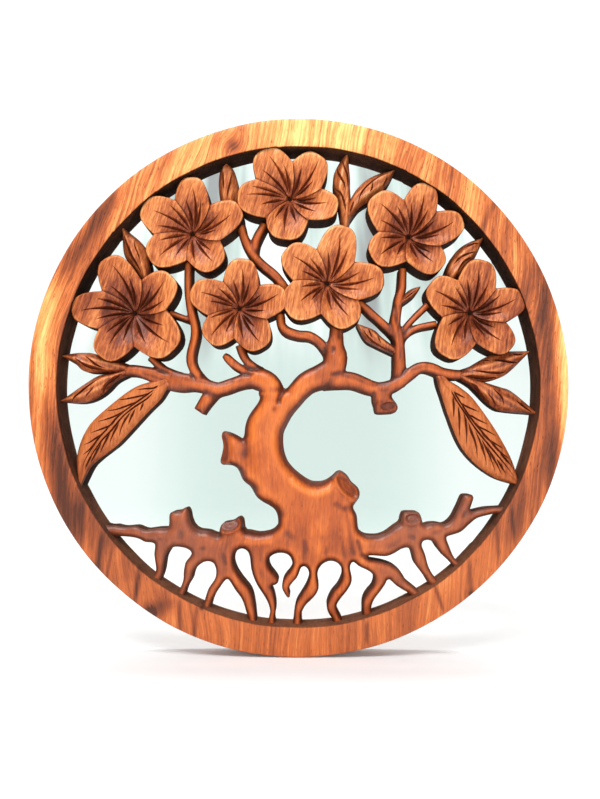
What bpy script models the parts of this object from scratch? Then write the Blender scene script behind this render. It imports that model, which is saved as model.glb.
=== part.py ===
# A round wall panel sawn through and carved from one board of hardwood: a tree with open
# flowers, broad leaves, buds, cut stumps and spreading roots, standing inside a plain rim.

import math

import bmesh
import bpy
from mathutils import Vector

# Driving sizes in millimetres. x runs to the right and z up from the middle of the rim,
# and a depth is measured into the board from the rim's front face.
PANEL_DIAMETER = 300.0
RIM_WIDTH = 16.0
BOARD_THICKNESS = 20.0
RIM_CHAMFER = 0.8
RIM_FACETS = 80
SHOULDER_DEPTH = 10.5     # where a limb's rounded top meets the straight sawn wall below it
STATION_SPACING = 9.0     # distance between the cross sections of a limb or a bud
SAW_ALLOWANCE = 1.0       # how far the carving runs on past the back before it is sawn flush

MM = 0.001
MOUNT_HEIGHT = PANEL_DIAMETER / 2 - RIM_WIDTH / 2     # origin above the middle of the rim
SMALLEST_EDGE = 0.02 * MM
CREASE_ANGLE = math.radians(30)

# Petals: an open flower has five, laid like a pinwheel, each over its neighbour clockwise.
PETAL_FULLNESS = 3.2      # exponent of a petal's oval, 2 is an ellipse and more is fuller
PETAL_SWIRL = math.radians(14)     # turn of a petal's grooves between the middle and the edge
PETAL_TOP = 1.3
PETAL_EDGE = 2.6
BOWL_DEPTH = 9.0
BOWL_REACH = 0.85         # share of the petal's reach at which the bowl starts to sink
BOWL_CURVE = 1.3
PINWHEEL_STEP = 2.6       # how far a petal's far side is tucked under the next one
GROOVE_DEPTH = 1.1
PETAL_COLUMNS = 8         # strips across a petal, with a groove on every other line between them
NOTCH_ANGLE = math.radians(0.8)
# Rings of a flower, as shares of the petal's reach, the pinwheel step and the groove depth
PETAL_RINGS = ((0.14, 0.6, 1.0), (0.48, 1.0, 1.0), (0.88, 0.4, 0.3))

# Broad leaves: two cambered halves with a midrib between them and veins swept to the tip.
LEAF_EDGE = 8.5
LEAF_TOP = 6.0
LEAF_TIP = 7.0
LEAF_CAMBER = 0.55        # share of the half width at which a half stands highest
MIDRIB_DEPTH = 7.8
VEIN_DEPTH = 0.9
VEIN_SPACING = 7.2
VEIN_SWEEP = 7.0          # how far a vein runs ahead between the midrib and the edge
LEAF_FULL_HALF = 6.0      # half width from which a leaf has its full relief

# Rolled buds: a round back with one fold line running to the tip.
BUD_EDGE = 10.0
BUD_TIP = 8.5
BUD_TOP = 5.5
FOLD_DEPTH = 1.2
BUD_FULL_HALF = 4.0       # half width from which a bud has its full relief

# Each flower: the middle (x, z), then its petals as (direction in degrees, reach, width).
FLOWERS = {
    "far left": ((-90.8, 38.6), ((47, 29.5, 23), (117, 36, 23.5), (174, 36, 23),
                                 (232, 31, 23.5), (316, 30, 28))),
    "upper left": ((-59.0, 83.4), ((30, 31, 21.5), (92, 33.2, 21), (148, 33, 24.5),
                                   (208, 28, 23.5), (308, 23.5, 24))),
    "top": ((-4.3, 103.3), ((57, 30.8, 23.5), (118, 32.8, 24.5), (176, 29.6, 23.5),
                            (262, 23, 25), (351, 27.5, 20))),
    "upper right": ((62.3, 81.3), ((18, 32.3, 20.5), (70, 32.8, 21), (127, 31, 24),
                                   (207, 23.5, 23), (315, 25.2, 21))),
    "middle": ((16.7, 55.2), ((6, 32, 22.8), (74, 34.5, 23.5), (139, 30.6, 23.5),
                              (213, 27.7, 25.5), (300, 27.2, 23.5))),
    "inner left": ((-32.4, 41.2), ((17, 27.5, 20.5), (87, 28.7, 21.5), (157, 29.4, 22),
                                   (225, 25.3, 21), (300, 25.6, 22.5))),
    "far right": ((95.8, 38.5), ((15, 32, 20.7), (75, 31.2, 23), (141, 27.5, 23),
                                 (240, 27.8, 24), (319, 30.4, 21))),
}

# Each limb: stations along its middle as (x, z, half width, depth of its crest).
LIMBS = {
    "trunk": ((-8, -3, 13, 4), (-11.5, -12, 12.2, 3.5), (-16.5, -21, 11.6, 3),
              (-19.4, -31, 11, 3), (-20.2, -40, 12.2, 3), (-18.4, -49, 13, 3),
              (-11.5, -57, 12.8, 3), (-1, -64.8, 14.7, 3), (9.8, -73, 21, 3), (12, -84, 23, 3),
              (12, -94, 23, 4)),
    "left bough": ((-12, -6, 8, 4), (-16.5, 2, 6.8, 4.5), (-24, 2.8, 6, 5), (-31, 1, 4.2, 6),
                   (-42, -2.7, 3.9, 6), (-47, -2.9, 3.9, 6), (-58, 0.2, 4.5, 6),
                   (-70, 1.2, 5.6, 6.5), (-90, 7, 3.3, 7), (-98, 7.5, 3, 7.5)),
    "left stub": ((-47, -4, 4, 6), (-51.5, -9.5, 3.7, 6.5), (-55.8, -16, 3.4, 7.5)),
    "long left stem": ((-53, 0, 3, 6), (-58.2, 7, 2.7, 6.5), (-60.6, 15, 2.5, 7),
                       (-58.2, 29.5, 2.4, 7), (-61, 43, 2.3, 7.5), (-62.5, 55, 2.3, 8),
                       (-62.6, 70, 2.3, 8)),
    "short left twig": ((-25, 5, 3, 5.5), (-31, 7.8, 2.5, 6), (-36.5, 11.3, 2.5, 6.5),
                        (-40, 14.6, 2.3, 7), (-41.8, 16.3, 1.5, 8)),
    "twig to the inner flower": ((-21, 6.5, 3, 5.5), (-27, 11, 2.5, 6.5), (-30.3, 15, 2.4, 7),
                                 (-33, 22, 2.4, 8)),
    "twig to the far left flower": ((-66, 4, 2.2, 7), (-76, 8.3, 2, 7.5), (-84, 15, 2, 8)),
    "link to the far left flower": ((-58, 35, 1.6, 8), (-65, 37.6, 1.6, 8), (-73, 40.5, 1.8, 8)),
    "forked branch": ((-5, 51, 2.8, 8), (-12, 61, 2.7, 7.5), (-20, 67.8, 2.7, 7.5),
                      (-25.5, 73.8, 2.7, 7.5), (-30.3, 82.7, 2.5, 7.5), (-32.5, 91, 2.4, 8)),
    "fork arm": ((-25, 72, 2.4, 7.5), (-23.8, 82, 2.4, 7.5), (-19, 92, 2.4, 8)),
    "curled branch": ((18, 16, 3, 6.5), (12.7, 23.3, 2.7, 7), (6.8, 27, 2.6, 7),
                      (0.6, 27.7, 2.6, 7), (-6, 30, 2.6, 7.5), (-9.3, 33.8, 2.6, 7.5),
                      (-10, 40, 2.6, 8)),
    "right limb": ((-3, -6, 6.5, 4), (5, 0, 6.4, 4.5), (13, 3.8, 6.8, 5), (19.5, 8, 7, 5),
                   (21.6, 14.5, 6.6, 5.5), (21.2, 21, 5.2, 6), (22, 28, 3.9, 7),
                   (22.3, 38, 3.5, 8)),
    "right bough": ((15, 2, 5.5, 5), (30, 1.6, 4.8, 6), (42, -2.6, 4.2, 6), (47.5, -2.9, 3.7, 6),
                    (53, -1.8, 3.8, 6), (58, 1, 3.8, 6), (68.5, 8.6, 3.1, 6.5),
                    (76, 8.5, 3, 6.5), (82, 6, 3, 7), (88, 5, 3, 7), (95, 5, 2.6, 7.5)),
    "right stem": ((56.5, -1, 3.6, 6), (57.6, 8, 3.6, 6.5), (57.3, 26, 3.1, 7),
                   (55.5, 33.5, 2.8, 7), (57.6, 47.6, 2.5, 7.5), (59.4, 54.8, 2.4, 8),
                   (60, 66, 2.4, 8)),
    "twig to the middle flower": ((57, 24, 2.4, 7), (52.7, 30, 2.3, 7.5), (35, 46.5, 2.2, 8)),
    "upper twig to the far right flower": ((57, 26, 2, 7.5), (64, 35, 1.8, 8), (74, 45, 1.8, 8)),
    "lower twig to the far right flower": ((58, 23, 2, 7.5), (66, 31, 1.9, 8), (79, 34, 1.9, 8)),
    "right stub": ((50, -4, 5.6, 6), (50.3, -13, 6.3, 6.5), (50.5, -16.8, 6.2, 10)),
    "left stump": ((-27, -40, 8.4, 4), (-35, -38.2, 8.7, 5), (-40, -36.6, 9.4, 5),
                   (-43.6, -36.3, 8.8, 13)),
    "right stump": ((16, -65, 10.5, 4), (24.5, -60.8, 9.4, 4.5), (27.8, -58.9, 9.2, 4.5),
                    (31.4, -57, 8.6, 12)),
    "left root arm": ((6, -91, 8, 5), (-10, -89.5, 5.3, 5), (-20, -90.3, 5.2, 5.5),
                      (-30.5, -89.4, 4.9, 5.5), (-39, -91.3, 6.4, 5.5), (-50, -92.4, 7.8, 5.5),
                      (-58, -88.8, 6, 5.5), (-66.5, -86.5, 5.9, 5.5), (-72, -86.3, 5.3, 6),
                      (-78, -86, 3.9, 6), (-85, -86.2, 2.9, 7), (-91, -84.5, 2.8, 7),
                      (-98, -84.7, 2.4, 7.5), (-110, -83, 3.6, 8)),
    "left arm stump": ((-65.8, -87, 5.6, 6), (-67, -75, 5, 6.5), (-67.8, -71.8, 4.6, 11)),
    "left base stump": ((-36.8, -90, 6, 5.5), (-37.2, -81, 5.9, 5.5), (-37.9, -77.8, 5.4, 12)),
    "right root arm": ((28, -91, 8, 4.5), (40, -91.7, 4.9, 5.5), (47, -91.2, 5.2, 5.5),
                       (53, -88.4, 6.6, 5.5), (59, -86, 6.8, 5.5), (65, -85.4, 6.4, 5.5),
                       (71, -84, 4.9, 5.5), (77, -83.6, 4.6, 6), (90, -80, 3.9, 6.5),
                       (99, -74, 2.6, 7.5), (104, -72.4, 2.1, 7.5), (114, -72.5, 2.8, 8)),
    "right arm stump": ((64.5, -86, 6.3, 6), (64.7, -78.5, 5.6, 6), (64.8, -73.2, 5.2, 12)),
    "right arm twig": ((87, -82, 3.2, 6.5), (91.3, -76, 2.7, 7), (96.8, -63.8, 2.2, 9)),
    "root base": ((-3, -92.5, 5.2, 5), (5, -95.5, 6.8, 5), (20, -94.5, 6.5, 5),
                  (35, -96, 5, 5.5)),
    "root 1": ((-75, -85, 3.4, 6.5), (-77.4, -94, 2.6, 7), (-77.6, -100, 2.3, 7.5),
               (-78, -104.5, 1.6, 8.5), (-79.5, -111, 1.4, 9)),
    "root 2": ((-52, -90.5, 4.2, 6), (-57.5, -96.5, 3.4, 7), (-60.6, -102, 2.7, 7),
               (-63.3, -113, 1.6, 8.5), (-65.5, -120, 1.4, 9)),
    "root 3": ((-41.5, -96, 4, 6), (-44.2, -109, 3, 7), (-48.6, -118, 2.2, 7.5),
               (-51.5, -127, 1.5, 9)),
    "root 4": ((-39, -95, 3.8, 6), (-36.8, -102, 3.2, 6.5), (-33.8, -108.5, 2.9, 7),
               (-30.6, -113.5, 3, 7), (-26.6, -125, 2, 8), (-25.5, -137, 1.5, 9)),
    "root 5": ((-21, -92, 5, 6), (-20.8, -101, 4.9, 6.5), (-18.9, -109, 4.7, 6.5),
               (-16, -115, 2.7, 7), (-13.9, -125, 1.7, 8), (-15, -137, 1.7, 9)),
    "root nub": ((-17.5, -106, 3.4, 7), (-13.5, -109.8, 2.6, 7.5), (-11.5, -111.4, 1.6, 8.5)),
    "root 6": ((-0.5, -96, 3.2, 6), (-0.9, -103, 2.9, 6.5), (-6.5, -113.3, 2.1, 7.5),
               (-6.3, -117, 1.8, 8), (-5, -119.6, 0.9, 9)),
    "root 7": ((9, -96, 3.6, 6), (9.6, -104, 3, 6.5), (9.3, -111, 3.1, 6.5), (6, -118, 3.2, 7),
               (2.3, -122.8, 2.9, 7), (0.6, -127.5, 2.5, 7.5), (0.3, -138, 2.3, 9)),
    "root 8": ((27, -95, 3, 6), (28, -106, 2.7, 6.5), (26.3, -112, 2.6, 7), (19.5, -120, 2.3, 7),
               (19, -125, 2.2, 7.5), (22.5, -137, 2.6, 9)),
    "root 9": ((40, -102, 3, 6.5), (45.3, -106.5, 3, 7), (46.6, -112, 2.9, 7),
               (43.8, -117, 2.9, 7), (40.4, -120.8, 2.7, 7.5), (39.2, -125, 2.4, 8),
               (39.5, -132, 2.4, 9)),
    "root 10": ((30, -96.5, 4.4, 5.5), (36, -100.8, 3.3, 6), (41, -103.2, 2.9, 6.5),
                (51, -106.1, 2.8, 7), (59.6, -113.3, 2, 8), (68, -119, 1.4, 9)),
    "root 11": ((65.5, -86, 3.8, 6), (69.8, -98.5, 2.5, 7), (70.8, -103, 2.3, 7.5),
                (73, -107.3, 2.1, 8), (78, -112.5, 2.3, 9)),
    "root 12": ((80, -84, 3.4, 6.5), (82.5, -91, 2.5, 7), (86.3, -98.5, 1.7, 8),
                (90, -103.5, 1.5, 9)),
}

# Each leaf or bud: stations from its stem to its tip as (x, z, half width).
LEAVES = {
    "broad left leaf": ((-70, 2.5, 1.6), (-76, -0.8, 3.6), (-82, -5, 6.4), (-91, -11.2, 8.3),
                        (-106.5, -26, 9.8), (-112.7, -32.7, 8.9), (-117.4, -39.5, 6.7),
                        (-120.3, -46.5, 4.2), (-122, -58.5, 0.4)),
    "broad right leaf": ((80, 6, 2), (82.3, 0, 3.4), (87, -6.2, 6.2), (92.4, -14.3, 8.7),
                         (102.3, -32.3, 10.7), (114, -47, 7.4), (124, -57, 0.6)),
}
BUDS = {
    "lower left bud": ((-95, 7.3, 2), (-104, 3.6, 2.7), (-110.5, 0.3, 5), (-117, -4, 5.4),
                       (-124, -7.2, 4.2), (-134, -10, 0.5)),
    "left bud": ((-96, 8.6, 2.4), (-106, 10.3, 3.9), (-118.5, 12, 5.6), (-125, 14.2, 3.6),
                 (-134, 15.8, 0.5)),
    "bud over the far left flower": ((-86, 57, 2.4), (-88, 64.5, 4.1), (-91.5, 71.7, 6),
                                     (-94.8, 78.5, 5.8), (-100.4, 89.5, 0.5)),
    "round bud": ((-38, 99, 4.7), (-40, 112, 5), (-40.7, 123, 3.2), (-40.7, 127, 0.9)),
    "left twin leaf": ((26, 84, 2.5), (27.2, 92, 2.6), (26.6, 105, 3.9), (25.4, 112, 4.8),
                       (25.4, 119.5, 4.8), (26.8, 127, 2.8), (28.8, 133.2, 0.5)),
    "right twin leaf": ((28, 95, 2.5), (32.5, 103, 3.5), (37.3, 108.3, 5), (43.3, 113.3, 5.6),
                        (49.7, 118.2, 3.8), (55.4, 122.6, 0.5)),
    "upper right bud": ((85.5, 58, 3), (90, 65.5, 4.9), (94.5, 71.7, 5.6), (99.5, 77.3, 4.2),
                        (105.8, 83.4, 0.5)),
    "right bud": ((90, 4.8, 2.4), (98, 5.6, 4.2), (105, 7.2, 6.1), (112, 9.8, 7), (119, 13, 5.6),
                  (130.5, 17.9, 0.6)),
    "lower right bud": ((90, 5, 2), (99, 0.5, 2.5), (112, -7.5, 6.1), (119, -10.4, 6),
                        (134, -16.8, 0.8)),
    "inner right bud": ((57, 17, 2), (46.2, 23.6, 3.3), (40.7, 27.7, 3.9), (33.8, 33.8, 0.5)),
    "smallest bud": ((57.5, 45, 1.6), (65, 51.5, 2.2), (69.6, 55, 0.5)),
}


def place(x, z, depth):
    # From the board's own millimetres to metres, with the wall at y = 0
    return Vector((x * MM, (depth - BOARD_THICKNESS) * MM, (z - MOUNT_HEIGHT) * MM))


def blend(low, high, share):
    return low + (high - low) * share


def make_object(name, rings, joined_round=False):
    # Skins rings of (x, z, depth) points into one closed mesh; a ring of one point makes a fan
    bm = bmesh.new()
    loops = [[bm.verts.new(place(*point)) for point in ring] for ring in rings]
    if joined_round:
        loops.append(loops[0])
    for first, second in zip(loops, loops[1:]):
        count = max(len(first), len(second))
        for i in range(count):
            j = (i + 1) % count
            corners = (first[i % len(first)], first[j % len(first)],
                       second[j % len(second)], second[i % len(second)])
            bm.faces.new(tuple(dict.fromkeys(corners)))
    if not joined_round:
        for loop in (loops[0], loops[-1]):
            if len(loop) > 1:
                bm.faces.new(loop)
    bmesh.ops.recalc_face_normals(bm, faces=bm.faces)
    mesh = bpy.data.meshes.new(name)
    bm.to_mesh(mesh)
    bm.free()
    return bpy.data.objects.new(name, mesh)


def spline(points, spacing):
    # A smooth curve through the stations, sampled about every spacing along it
    out = []
    padded = [points[0]] + list(points) + [points[-1]]
    for k in range(1, len(padded) - 2):
        a, b, c, d = padded[k - 1:k + 3]
        steps = max(1, round(math.dist(b[:2], c[:2]) / spacing))
        for i in range(steps):
            t = i / steps
            out.append([0.5 * (2 * q + (r - p) * t + (2 * p - 5 * q + 4 * r - s) * t * t
                               + (3 * q - p - 3 * r + s) * t ** 3)
                        for p, q, r, s in zip(a, b, c, d)])
    out.append(list(points[-1]))
    return out


def edge_point(line, position, share):
    # A point of the line's own plan: position counts its samples, share its half widths
    last = len(line) - 1
    position = min(max(position, 0), last)
    i = min(int(position), last - 1)
    station = [blend(p, q, position - i) for p, q in zip(line[i], line[i + 1])]
    before = line[max(round(position) - 1, 0)]
    after = line[min(round(position) + 1, last)]
    length = math.dist(before[:2], after[:2])
    return (station[0] + (before[1] - after[1]) / length * share * station[2],
            station[1] + (after[0] - before[0]) / length * share * station[2])


def limb(name, points, back):
    # A branch or root: a half oval on top, straight sawn walls below the shoulder
    line = spline(points, STATION_SPACING)
    rings = []
    for i, (_, _, _, crest) in enumerate(line):
        shoulder = max(SHOULDER_DEPTH, crest + 1)
        arch = [(math.sin(turn), blend(shoulder, crest, math.cos(turn)))
                for turn in (k * math.pi / 4 for k in range(-2, 3))]
        profile = [(-1, back)] + arch + [(1, back)]
        rings.append([(*edge_point(line, i, share), depth) for share, depth in profile])
    return make_object(name, rings)


def leaf(name, points, back):
    # Every second ring lies along a pair of veins, so it is cut a little deeper
    line = spline(points, VEIN_SPACING / 2)
    lead = VEIN_SWEEP / (VEIN_SPACING / 2)
    rings = []
    for i, (_, _, half) in enumerate(line):
        swell = min(1, half / LEAF_FULL_HALF)
        vein = VEIN_DEPTH * swell * (i % 2)
        top = blend(LEAF_TIP, LEAF_TOP, swell) + vein
        midrib = blend(LEAF_TIP, MIDRIB_DEPTH, swell)
        profile = ((-1, back), (-1, LEAF_EDGE), (-LEAF_CAMBER, top), (0, midrib),
                   (LEAF_CAMBER, top), (1, LEAF_EDGE), (1, back))
        ahead = lead * math.sin(math.pi * i / (len(line) - 1))
        rings.append([(*edge_point(line, i + ahead * abs(share), share), depth)
                      for share, depth in profile])
    return make_object(name, rings)


def bud(name, points, back):
    line = spline(points, STATION_SPACING)
    rings = []
    for i, (_, _, half) in enumerate(line):
        swell = min(1, half / BUD_FULL_HALF)
        top = blend(BUD_TIP, BUD_TOP, swell)
        profile = ((-1, back), (-1, BUD_EDGE), (-0.45, top), (0.15, top + FOLD_DEPTH * swell),
                   (0.5, top), (1, BUD_EDGE), (1, back))
        rings.append([(*edge_point(line, i, share), depth) for share, depth in profile])
    return make_object(name, rings)


def petal_reach(petals, angle):
    # Distance from the flower's middle to its outline in one direction
    best = 0
    for direction, reach, width in petals:
        turn = angle - math.radians(direction)
        if math.cos(turn) > 0:
            oval = ((math.cos(turn) / reach) ** PETAL_FULLNESS
                    + (abs(math.sin(turn)) / (width / 2)) ** PETAL_FULLNESS)
            best = max(best, oval ** (-1 / PETAL_FULLNESS))
    return best


def petal_borders(petals):
    # The directions of the notches, where the outline comes nearest between two petals
    borders = []
    for (first, _, _), (second, _, _) in zip(petals, petals[1:] + petals[:1]):
        gap = (second - first) % 360
        between = [math.radians(first + gap * k / 60) for k in range(12, 49)]
        borders.append(min(between, key=lambda angle: petal_reach(petals, angle)))
    return borders


def flower(name, middle, petals, back):
    # Columns run from the middle to the outline, along the petals' grooves and ridges
    columns = []
    borders = petal_borders(petals)
    for start, end in zip(borders, borders[1:] + borders[:1]):
        span = (end - start) % math.tau - 2 * NOTCH_ANGLE
        for k in range(PETAL_COLUMNS + 1):
            share = k / PETAL_COLUMNS
            angle = start + NOTCH_ANGLE + share * span
            grooved = 0 < k < PETAL_COLUMNS and k % 2 == 0
            columns.append((angle, petal_reach(petals, angle), share, grooved))

    rings = [[(*middle, BOWL_DEPTH + GROOVE_DEPTH)]]
    for t, step, cut in PETAL_RINGS:
        bowl = blend(PETAL_TOP, BOWL_DEPTH, max(0, 1 - t / BOWL_REACH) ** BOWL_CURVE)
        swirl = PETAL_SWIRL * (1 - t)
        rings.append([(middle[0] + t * reach * math.cos(angle - swirl),
                       middle[1] + t * reach * math.sin(angle - swirl),
                       bowl + PINWHEEL_STEP * step * share ** 2 + GROOVE_DEPTH * cut * grooved)
                      for angle, reach, share, grooved in columns])
    for depth in (PETAL_EDGE, back):
        rings.append([(middle[0] + reach * math.cos(angle), middle[1] + reach * math.sin(angle),
                       depth) for angle, reach, _, _ in columns])
    rings.append([(*middle, back)])
    return make_object(name, rings)


def rim(name, back):
    # The plain round rim, turned from its section, with one facet level at the top
    outer = PANEL_DIAMETER / 2
    inner = outer - RIM_WIDTH
    section = ((outer, back), (outer, RIM_CHAMFER), (outer - RIM_CHAMFER, 0),
               (inner + RIM_CHAMFER, 0), (inner, RIM_CHAMFER), (inner, back))
    rings = []
    for k in range(RIM_FACETS):
        angle = math.tau * (k + 0.5) / RIM_FACETS + math.pi / 2
        rings.append([(radius * math.cos(angle), radius * math.sin(angle), depth)
                      for radius, depth in section])
    return make_object(name, rings, joined_round=True)


def saw_cut(name):
    # Everything behind the board's back face
    reach = PANEL_DIAMETER
    square = ((-reach, -reach), (reach, -reach), (reach, reach), (-reach, reach))
    return make_object(name, [[(x, z, depth) for x, z in square]
                              for depth in (BOARD_THICKNESS, BOARD_THICKNESS + 4 * SAW_ALLOWANCE)])


def add_boolean(target, name, operation):
    modifier = target.modifiers.new(name, "BOOLEAN")
    modifier.operation = operation
    modifier.solver = "EXACT"
    return modifier


def wood():
    material = bpy.data.materials.new("oiled hardwood")
    material.use_nodes = True
    shader = material.node_tree.nodes["Principled BSDF"]
    shader.inputs["Base Color"].default_value = (0.42, 0.15, 0.05, 1)
    shader.inputs["Roughness"].default_value = 0.45
    shader.inputs["Metallic"].default_value = 0
    return material


def carve(panel):
    # The joined and sawn shape becomes the panel's own mesh, without slivers
    finished = panel.evaluated_get(bpy.context.evaluated_depsgraph_get())
    mesh = bpy.data.meshes.new_from_object(finished)
    panel.modifiers.clear()
    panel.data = mesh
    bm = bmesh.new()
    bm.from_mesh(mesh)
    bmesh.ops.remove_doubles(bm, verts=bm.verts, dist=SMALLEST_EDGE)
    bmesh.ops.dissolve_degenerate(bm, edges=bm.edges, dist=SMALLEST_EDGE)
    bm.to_mesh(mesh)
    bm.free()
    mesh.shade_smooth()
    mesh.set_sharp_from_angle(angle=CREASE_ANGLE)


def build():
    for old in list(bpy.data.objects):
        bpy.data.objects.remove(old, do_unlink=True)
    scene = bpy.context.scene.collection
    shapes = bpy.data.collections.new("carved shapes")
    scene.children.link(shapes)

    makers = [(limb, name, (points,)) for name, points in LIMBS.items()]
    makers += [(leaf, name, (points,)) for name, points in LEAVES.items()]
    makers += [(bud, name, (points,)) for name, points in BUDS.items()]
    makers += [(flower, name, shape) for name, shape in FLOWERS.items()]
    for number, (maker, name, shape) in enumerate(makers):
        # Backs a little apart, so that no two of them share a plane
        back = BOARD_THICKNESS + SAW_ALLOWANCE * (1 + number / len(makers))
        shapes.objects.link(maker(name, *shape, back))

    panel = rim("carved_panel", BOARD_THICKNESS + SAW_ALLOWANCE / 2)
    panel.data.materials.append(wood())
    scene.objects.link(panel)
    add_boolean(panel, "join the carving", "UNION").operand_type = "COLLECTION"
    panel.modifiers["join the carving"].collection = shapes
    saw = saw_cut("saw along the back")
    scene.objects.link(saw)
    add_boolean(panel, "saw the back flush", "DIFFERENCE").object = saw
    carve(panel)

    for shape in [*shapes.objects, saw]:
        bpy.data.objects.remove(shape, do_unlink=True)
    bpy.data.collections.remove(shapes)


build()
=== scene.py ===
# A round wall panel, sawn through and carved from one board of hardwood: a tree with open
# flowers, broad leaves, buds, cut stumps and spreading roots, standing inside a plain rim.
# Sizes are in millimetres. x runs to the right and z up from the middle of the rim, and a
# depth is measured into the board from the rim's front face.

import math

import bmesh
import bpy
import numpy as np
from mathutils import Matrix, Vector
from mathutils.bvhtree import BVHTree


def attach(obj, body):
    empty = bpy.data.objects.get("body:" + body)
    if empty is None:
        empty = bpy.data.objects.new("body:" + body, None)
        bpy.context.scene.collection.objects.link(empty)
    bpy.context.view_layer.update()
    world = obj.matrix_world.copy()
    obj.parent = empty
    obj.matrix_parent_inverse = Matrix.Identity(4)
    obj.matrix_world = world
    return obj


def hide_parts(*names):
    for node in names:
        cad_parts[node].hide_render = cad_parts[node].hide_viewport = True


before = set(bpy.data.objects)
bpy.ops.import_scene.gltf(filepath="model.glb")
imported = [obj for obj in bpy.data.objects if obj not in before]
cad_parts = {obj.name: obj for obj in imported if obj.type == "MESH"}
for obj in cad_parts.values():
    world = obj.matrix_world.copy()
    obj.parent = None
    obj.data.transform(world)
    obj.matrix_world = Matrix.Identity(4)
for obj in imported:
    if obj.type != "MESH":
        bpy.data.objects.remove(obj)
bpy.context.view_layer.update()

board = dict(
    radius=150.0,
    rimWidth=16.0,
    thickness=20.0,
    sawAllowance=1.0,     # how far the shapes run on past the back before it is sawn flush
    sawReach=10.0,        # how far the saw's block reaches past the rim, and how thick it is
    sawBlock=6.0,
    sharpFrom=32,         # edges that turn by more degrees than this stay crisp
)
mm = 0.001
mountHeight = board["radius"] - board["rimWidth"] / 2     # origin above the middle of the rim
finishes = {}     # the wood's finish by name, filled in below


# Curves and meshes

def place(points):
    # From the board's own millimetres to metres, with the wall at y = 0
    x, z, depth = np.asarray(points, float).reshape(-1, 3).T
    return np.stack([x, depth - board["thickness"], z - mountHeight], axis=1) * mm


def spline(stations, spacing):
    # A smooth curve through the stations, sampled about every spacing along it
    points = []
    padded = [stations[0], *stations, stations[-1]]
    for k in range(1, len(padded) - 2):
        a, b, c, d = (np.array(point, float) for point in padded[k - 1:k + 3])
        steps = max(1, round(math.dist(b[:2], c[:2]) / spacing))
        for t in np.arange(steps) / steps:
            points.append(0.5 * (2 * b + (c - a) * t + (2 * a - 5 * b + 4 * c - d) * t * t
                                 + (3 * b - a - 3 * c + d) * t ** 3))
    return np.array(points + [np.array(stations[-1], float)])


def sideways(line):
    # Unit vectors across a line of stations, to the left of its direction
    ahead = np.gradient(line[:, :2], axis=0)
    ahead /= np.linalg.norm(ahead, axis=1)[:, None]
    return np.stack([-ahead[:, 1], ahead[:, 0]], axis=1)


def smoothStep(low, high, value):
    t = np.clip((value - low) / (high - low), 0, 1)
    return t * t * (3 - 2 * t)


def smoothMin(a, b, size):
    # The lower of two fields, with a fillet of that size where they cross
    h = np.clip(0.5 + 0.5 * (b - a) / size, 0, 1)
    return b + (a - b) * h - size * h * (1 - h)


def wobble(angle, seed, waves):
    # A smooth irregular line round the rim, about -1 to 1, as a hand-held tool leaves it
    phases = np.random.default_rng(seed).uniform(0, math.tau, 4)
    return sum(np.sin(angle * round(waves * rate) + phase) * size
               for rate, size, phase in zip((0.4, 1, 1.7, 2.6), (0.4, 0.4, 0.25, 0.15), phases))


def makeShell(name, points, faces, finishOf, finishNames, relief=None):
    # One closed mesh; finishOf gives each face's place in the list of finishes, and relief
    # runs from -1 in a hollow to 1 on a crest
    mesh = bpy.data.meshes.new(name)
    mesh.from_pydata(place(points).tolist(), [], faces)
    values = np.zeros(len(mesh.vertices)) if relief is None else np.asarray(relief).ravel()
    mesh.attributes.new("relief", "FLOAT", "POINT").data.foreach_set("value", values)
    for finishName in finishNames:
        mesh.materials.append(finishes[finishName])
    mesh.polygons.foreach_set("material_index", np.asarray(finishOf, np.int32))
    bm = bmesh.new()
    bm.from_mesh(mesh)
    bmesh.ops.recalc_face_normals(bm, faces=bm.faces)
    bm.to_mesh(mesh)
    bm.free()
    return bpy.data.objects.new(name, mesh)


def loft(name, rings, finishNames, isSawn=None, joinedRound=False, relief=None):
    # Skins an array of rings of points; isSawn(ring, column) picks the faces of the sawn wall
    rings = np.asarray(rings, float)
    ringCount, columns = rings.shape[:2]
    faces = []
    finishOf = []
    for i in range(ringCount if joinedRound else ringCount - 1):
        for j in range(columns):
            first = i * columns
            second = (i + 1) % ringCount * columns
            after = (j + 1) % columns
            faces.append((first + j, first + after, second + after, second + j))
            finishOf.append(int(isSawn is not None and isSawn(i, j)))
    if not joinedRound:
        for start in (0, (ringCount - 1) * columns):
            faces.append(tuple(range(start, start + columns)))
            finishOf.append(int(isSawn is not None))
    return makeShell(name, rings.reshape(-1, 3), faces, finishOf, finishNames, relief)


def bake(thing):
    # The shape that the modifiers give becomes the thing's own mesh
    mesh = bpy.data.meshes.new_from_object(
        thing.evaluated_get(bpy.context.evaluated_depsgraph_get()))
    thing.modifiers.clear()
    old = thing.data
    thing.data = mesh
    bpy.data.meshes.remove(old)


def combine(target, others, operation):
    # Joins the others to the target, or cuts them out of it, and clears them away
    shapes = bpy.data.collections.new("shapes")
    bpy.context.scene.collection.children.link(shapes)
    shapes.objects.link(target)
    tools = bpy.data.collections.new("tools")
    bpy.context.scene.collection.children.link(tools)
    for other in others:
        tools.objects.link(other)
    modifier = target.modifiers.new("combine", "BOOLEAN")
    modifier.operation = operation
    modifier.solver = "MANIFOLD"
    modifier.material_mode = "TRANSFER"
    modifier.operand_type = "COLLECTION"
    modifier.collection = tools
    bake(target)
    for other in others:
        bpy.data.meshes.remove(other.data)
    bpy.data.collections.remove(tools)
    shapes.objects.unlink(target)
    bpy.data.collections.remove(shapes)


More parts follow.
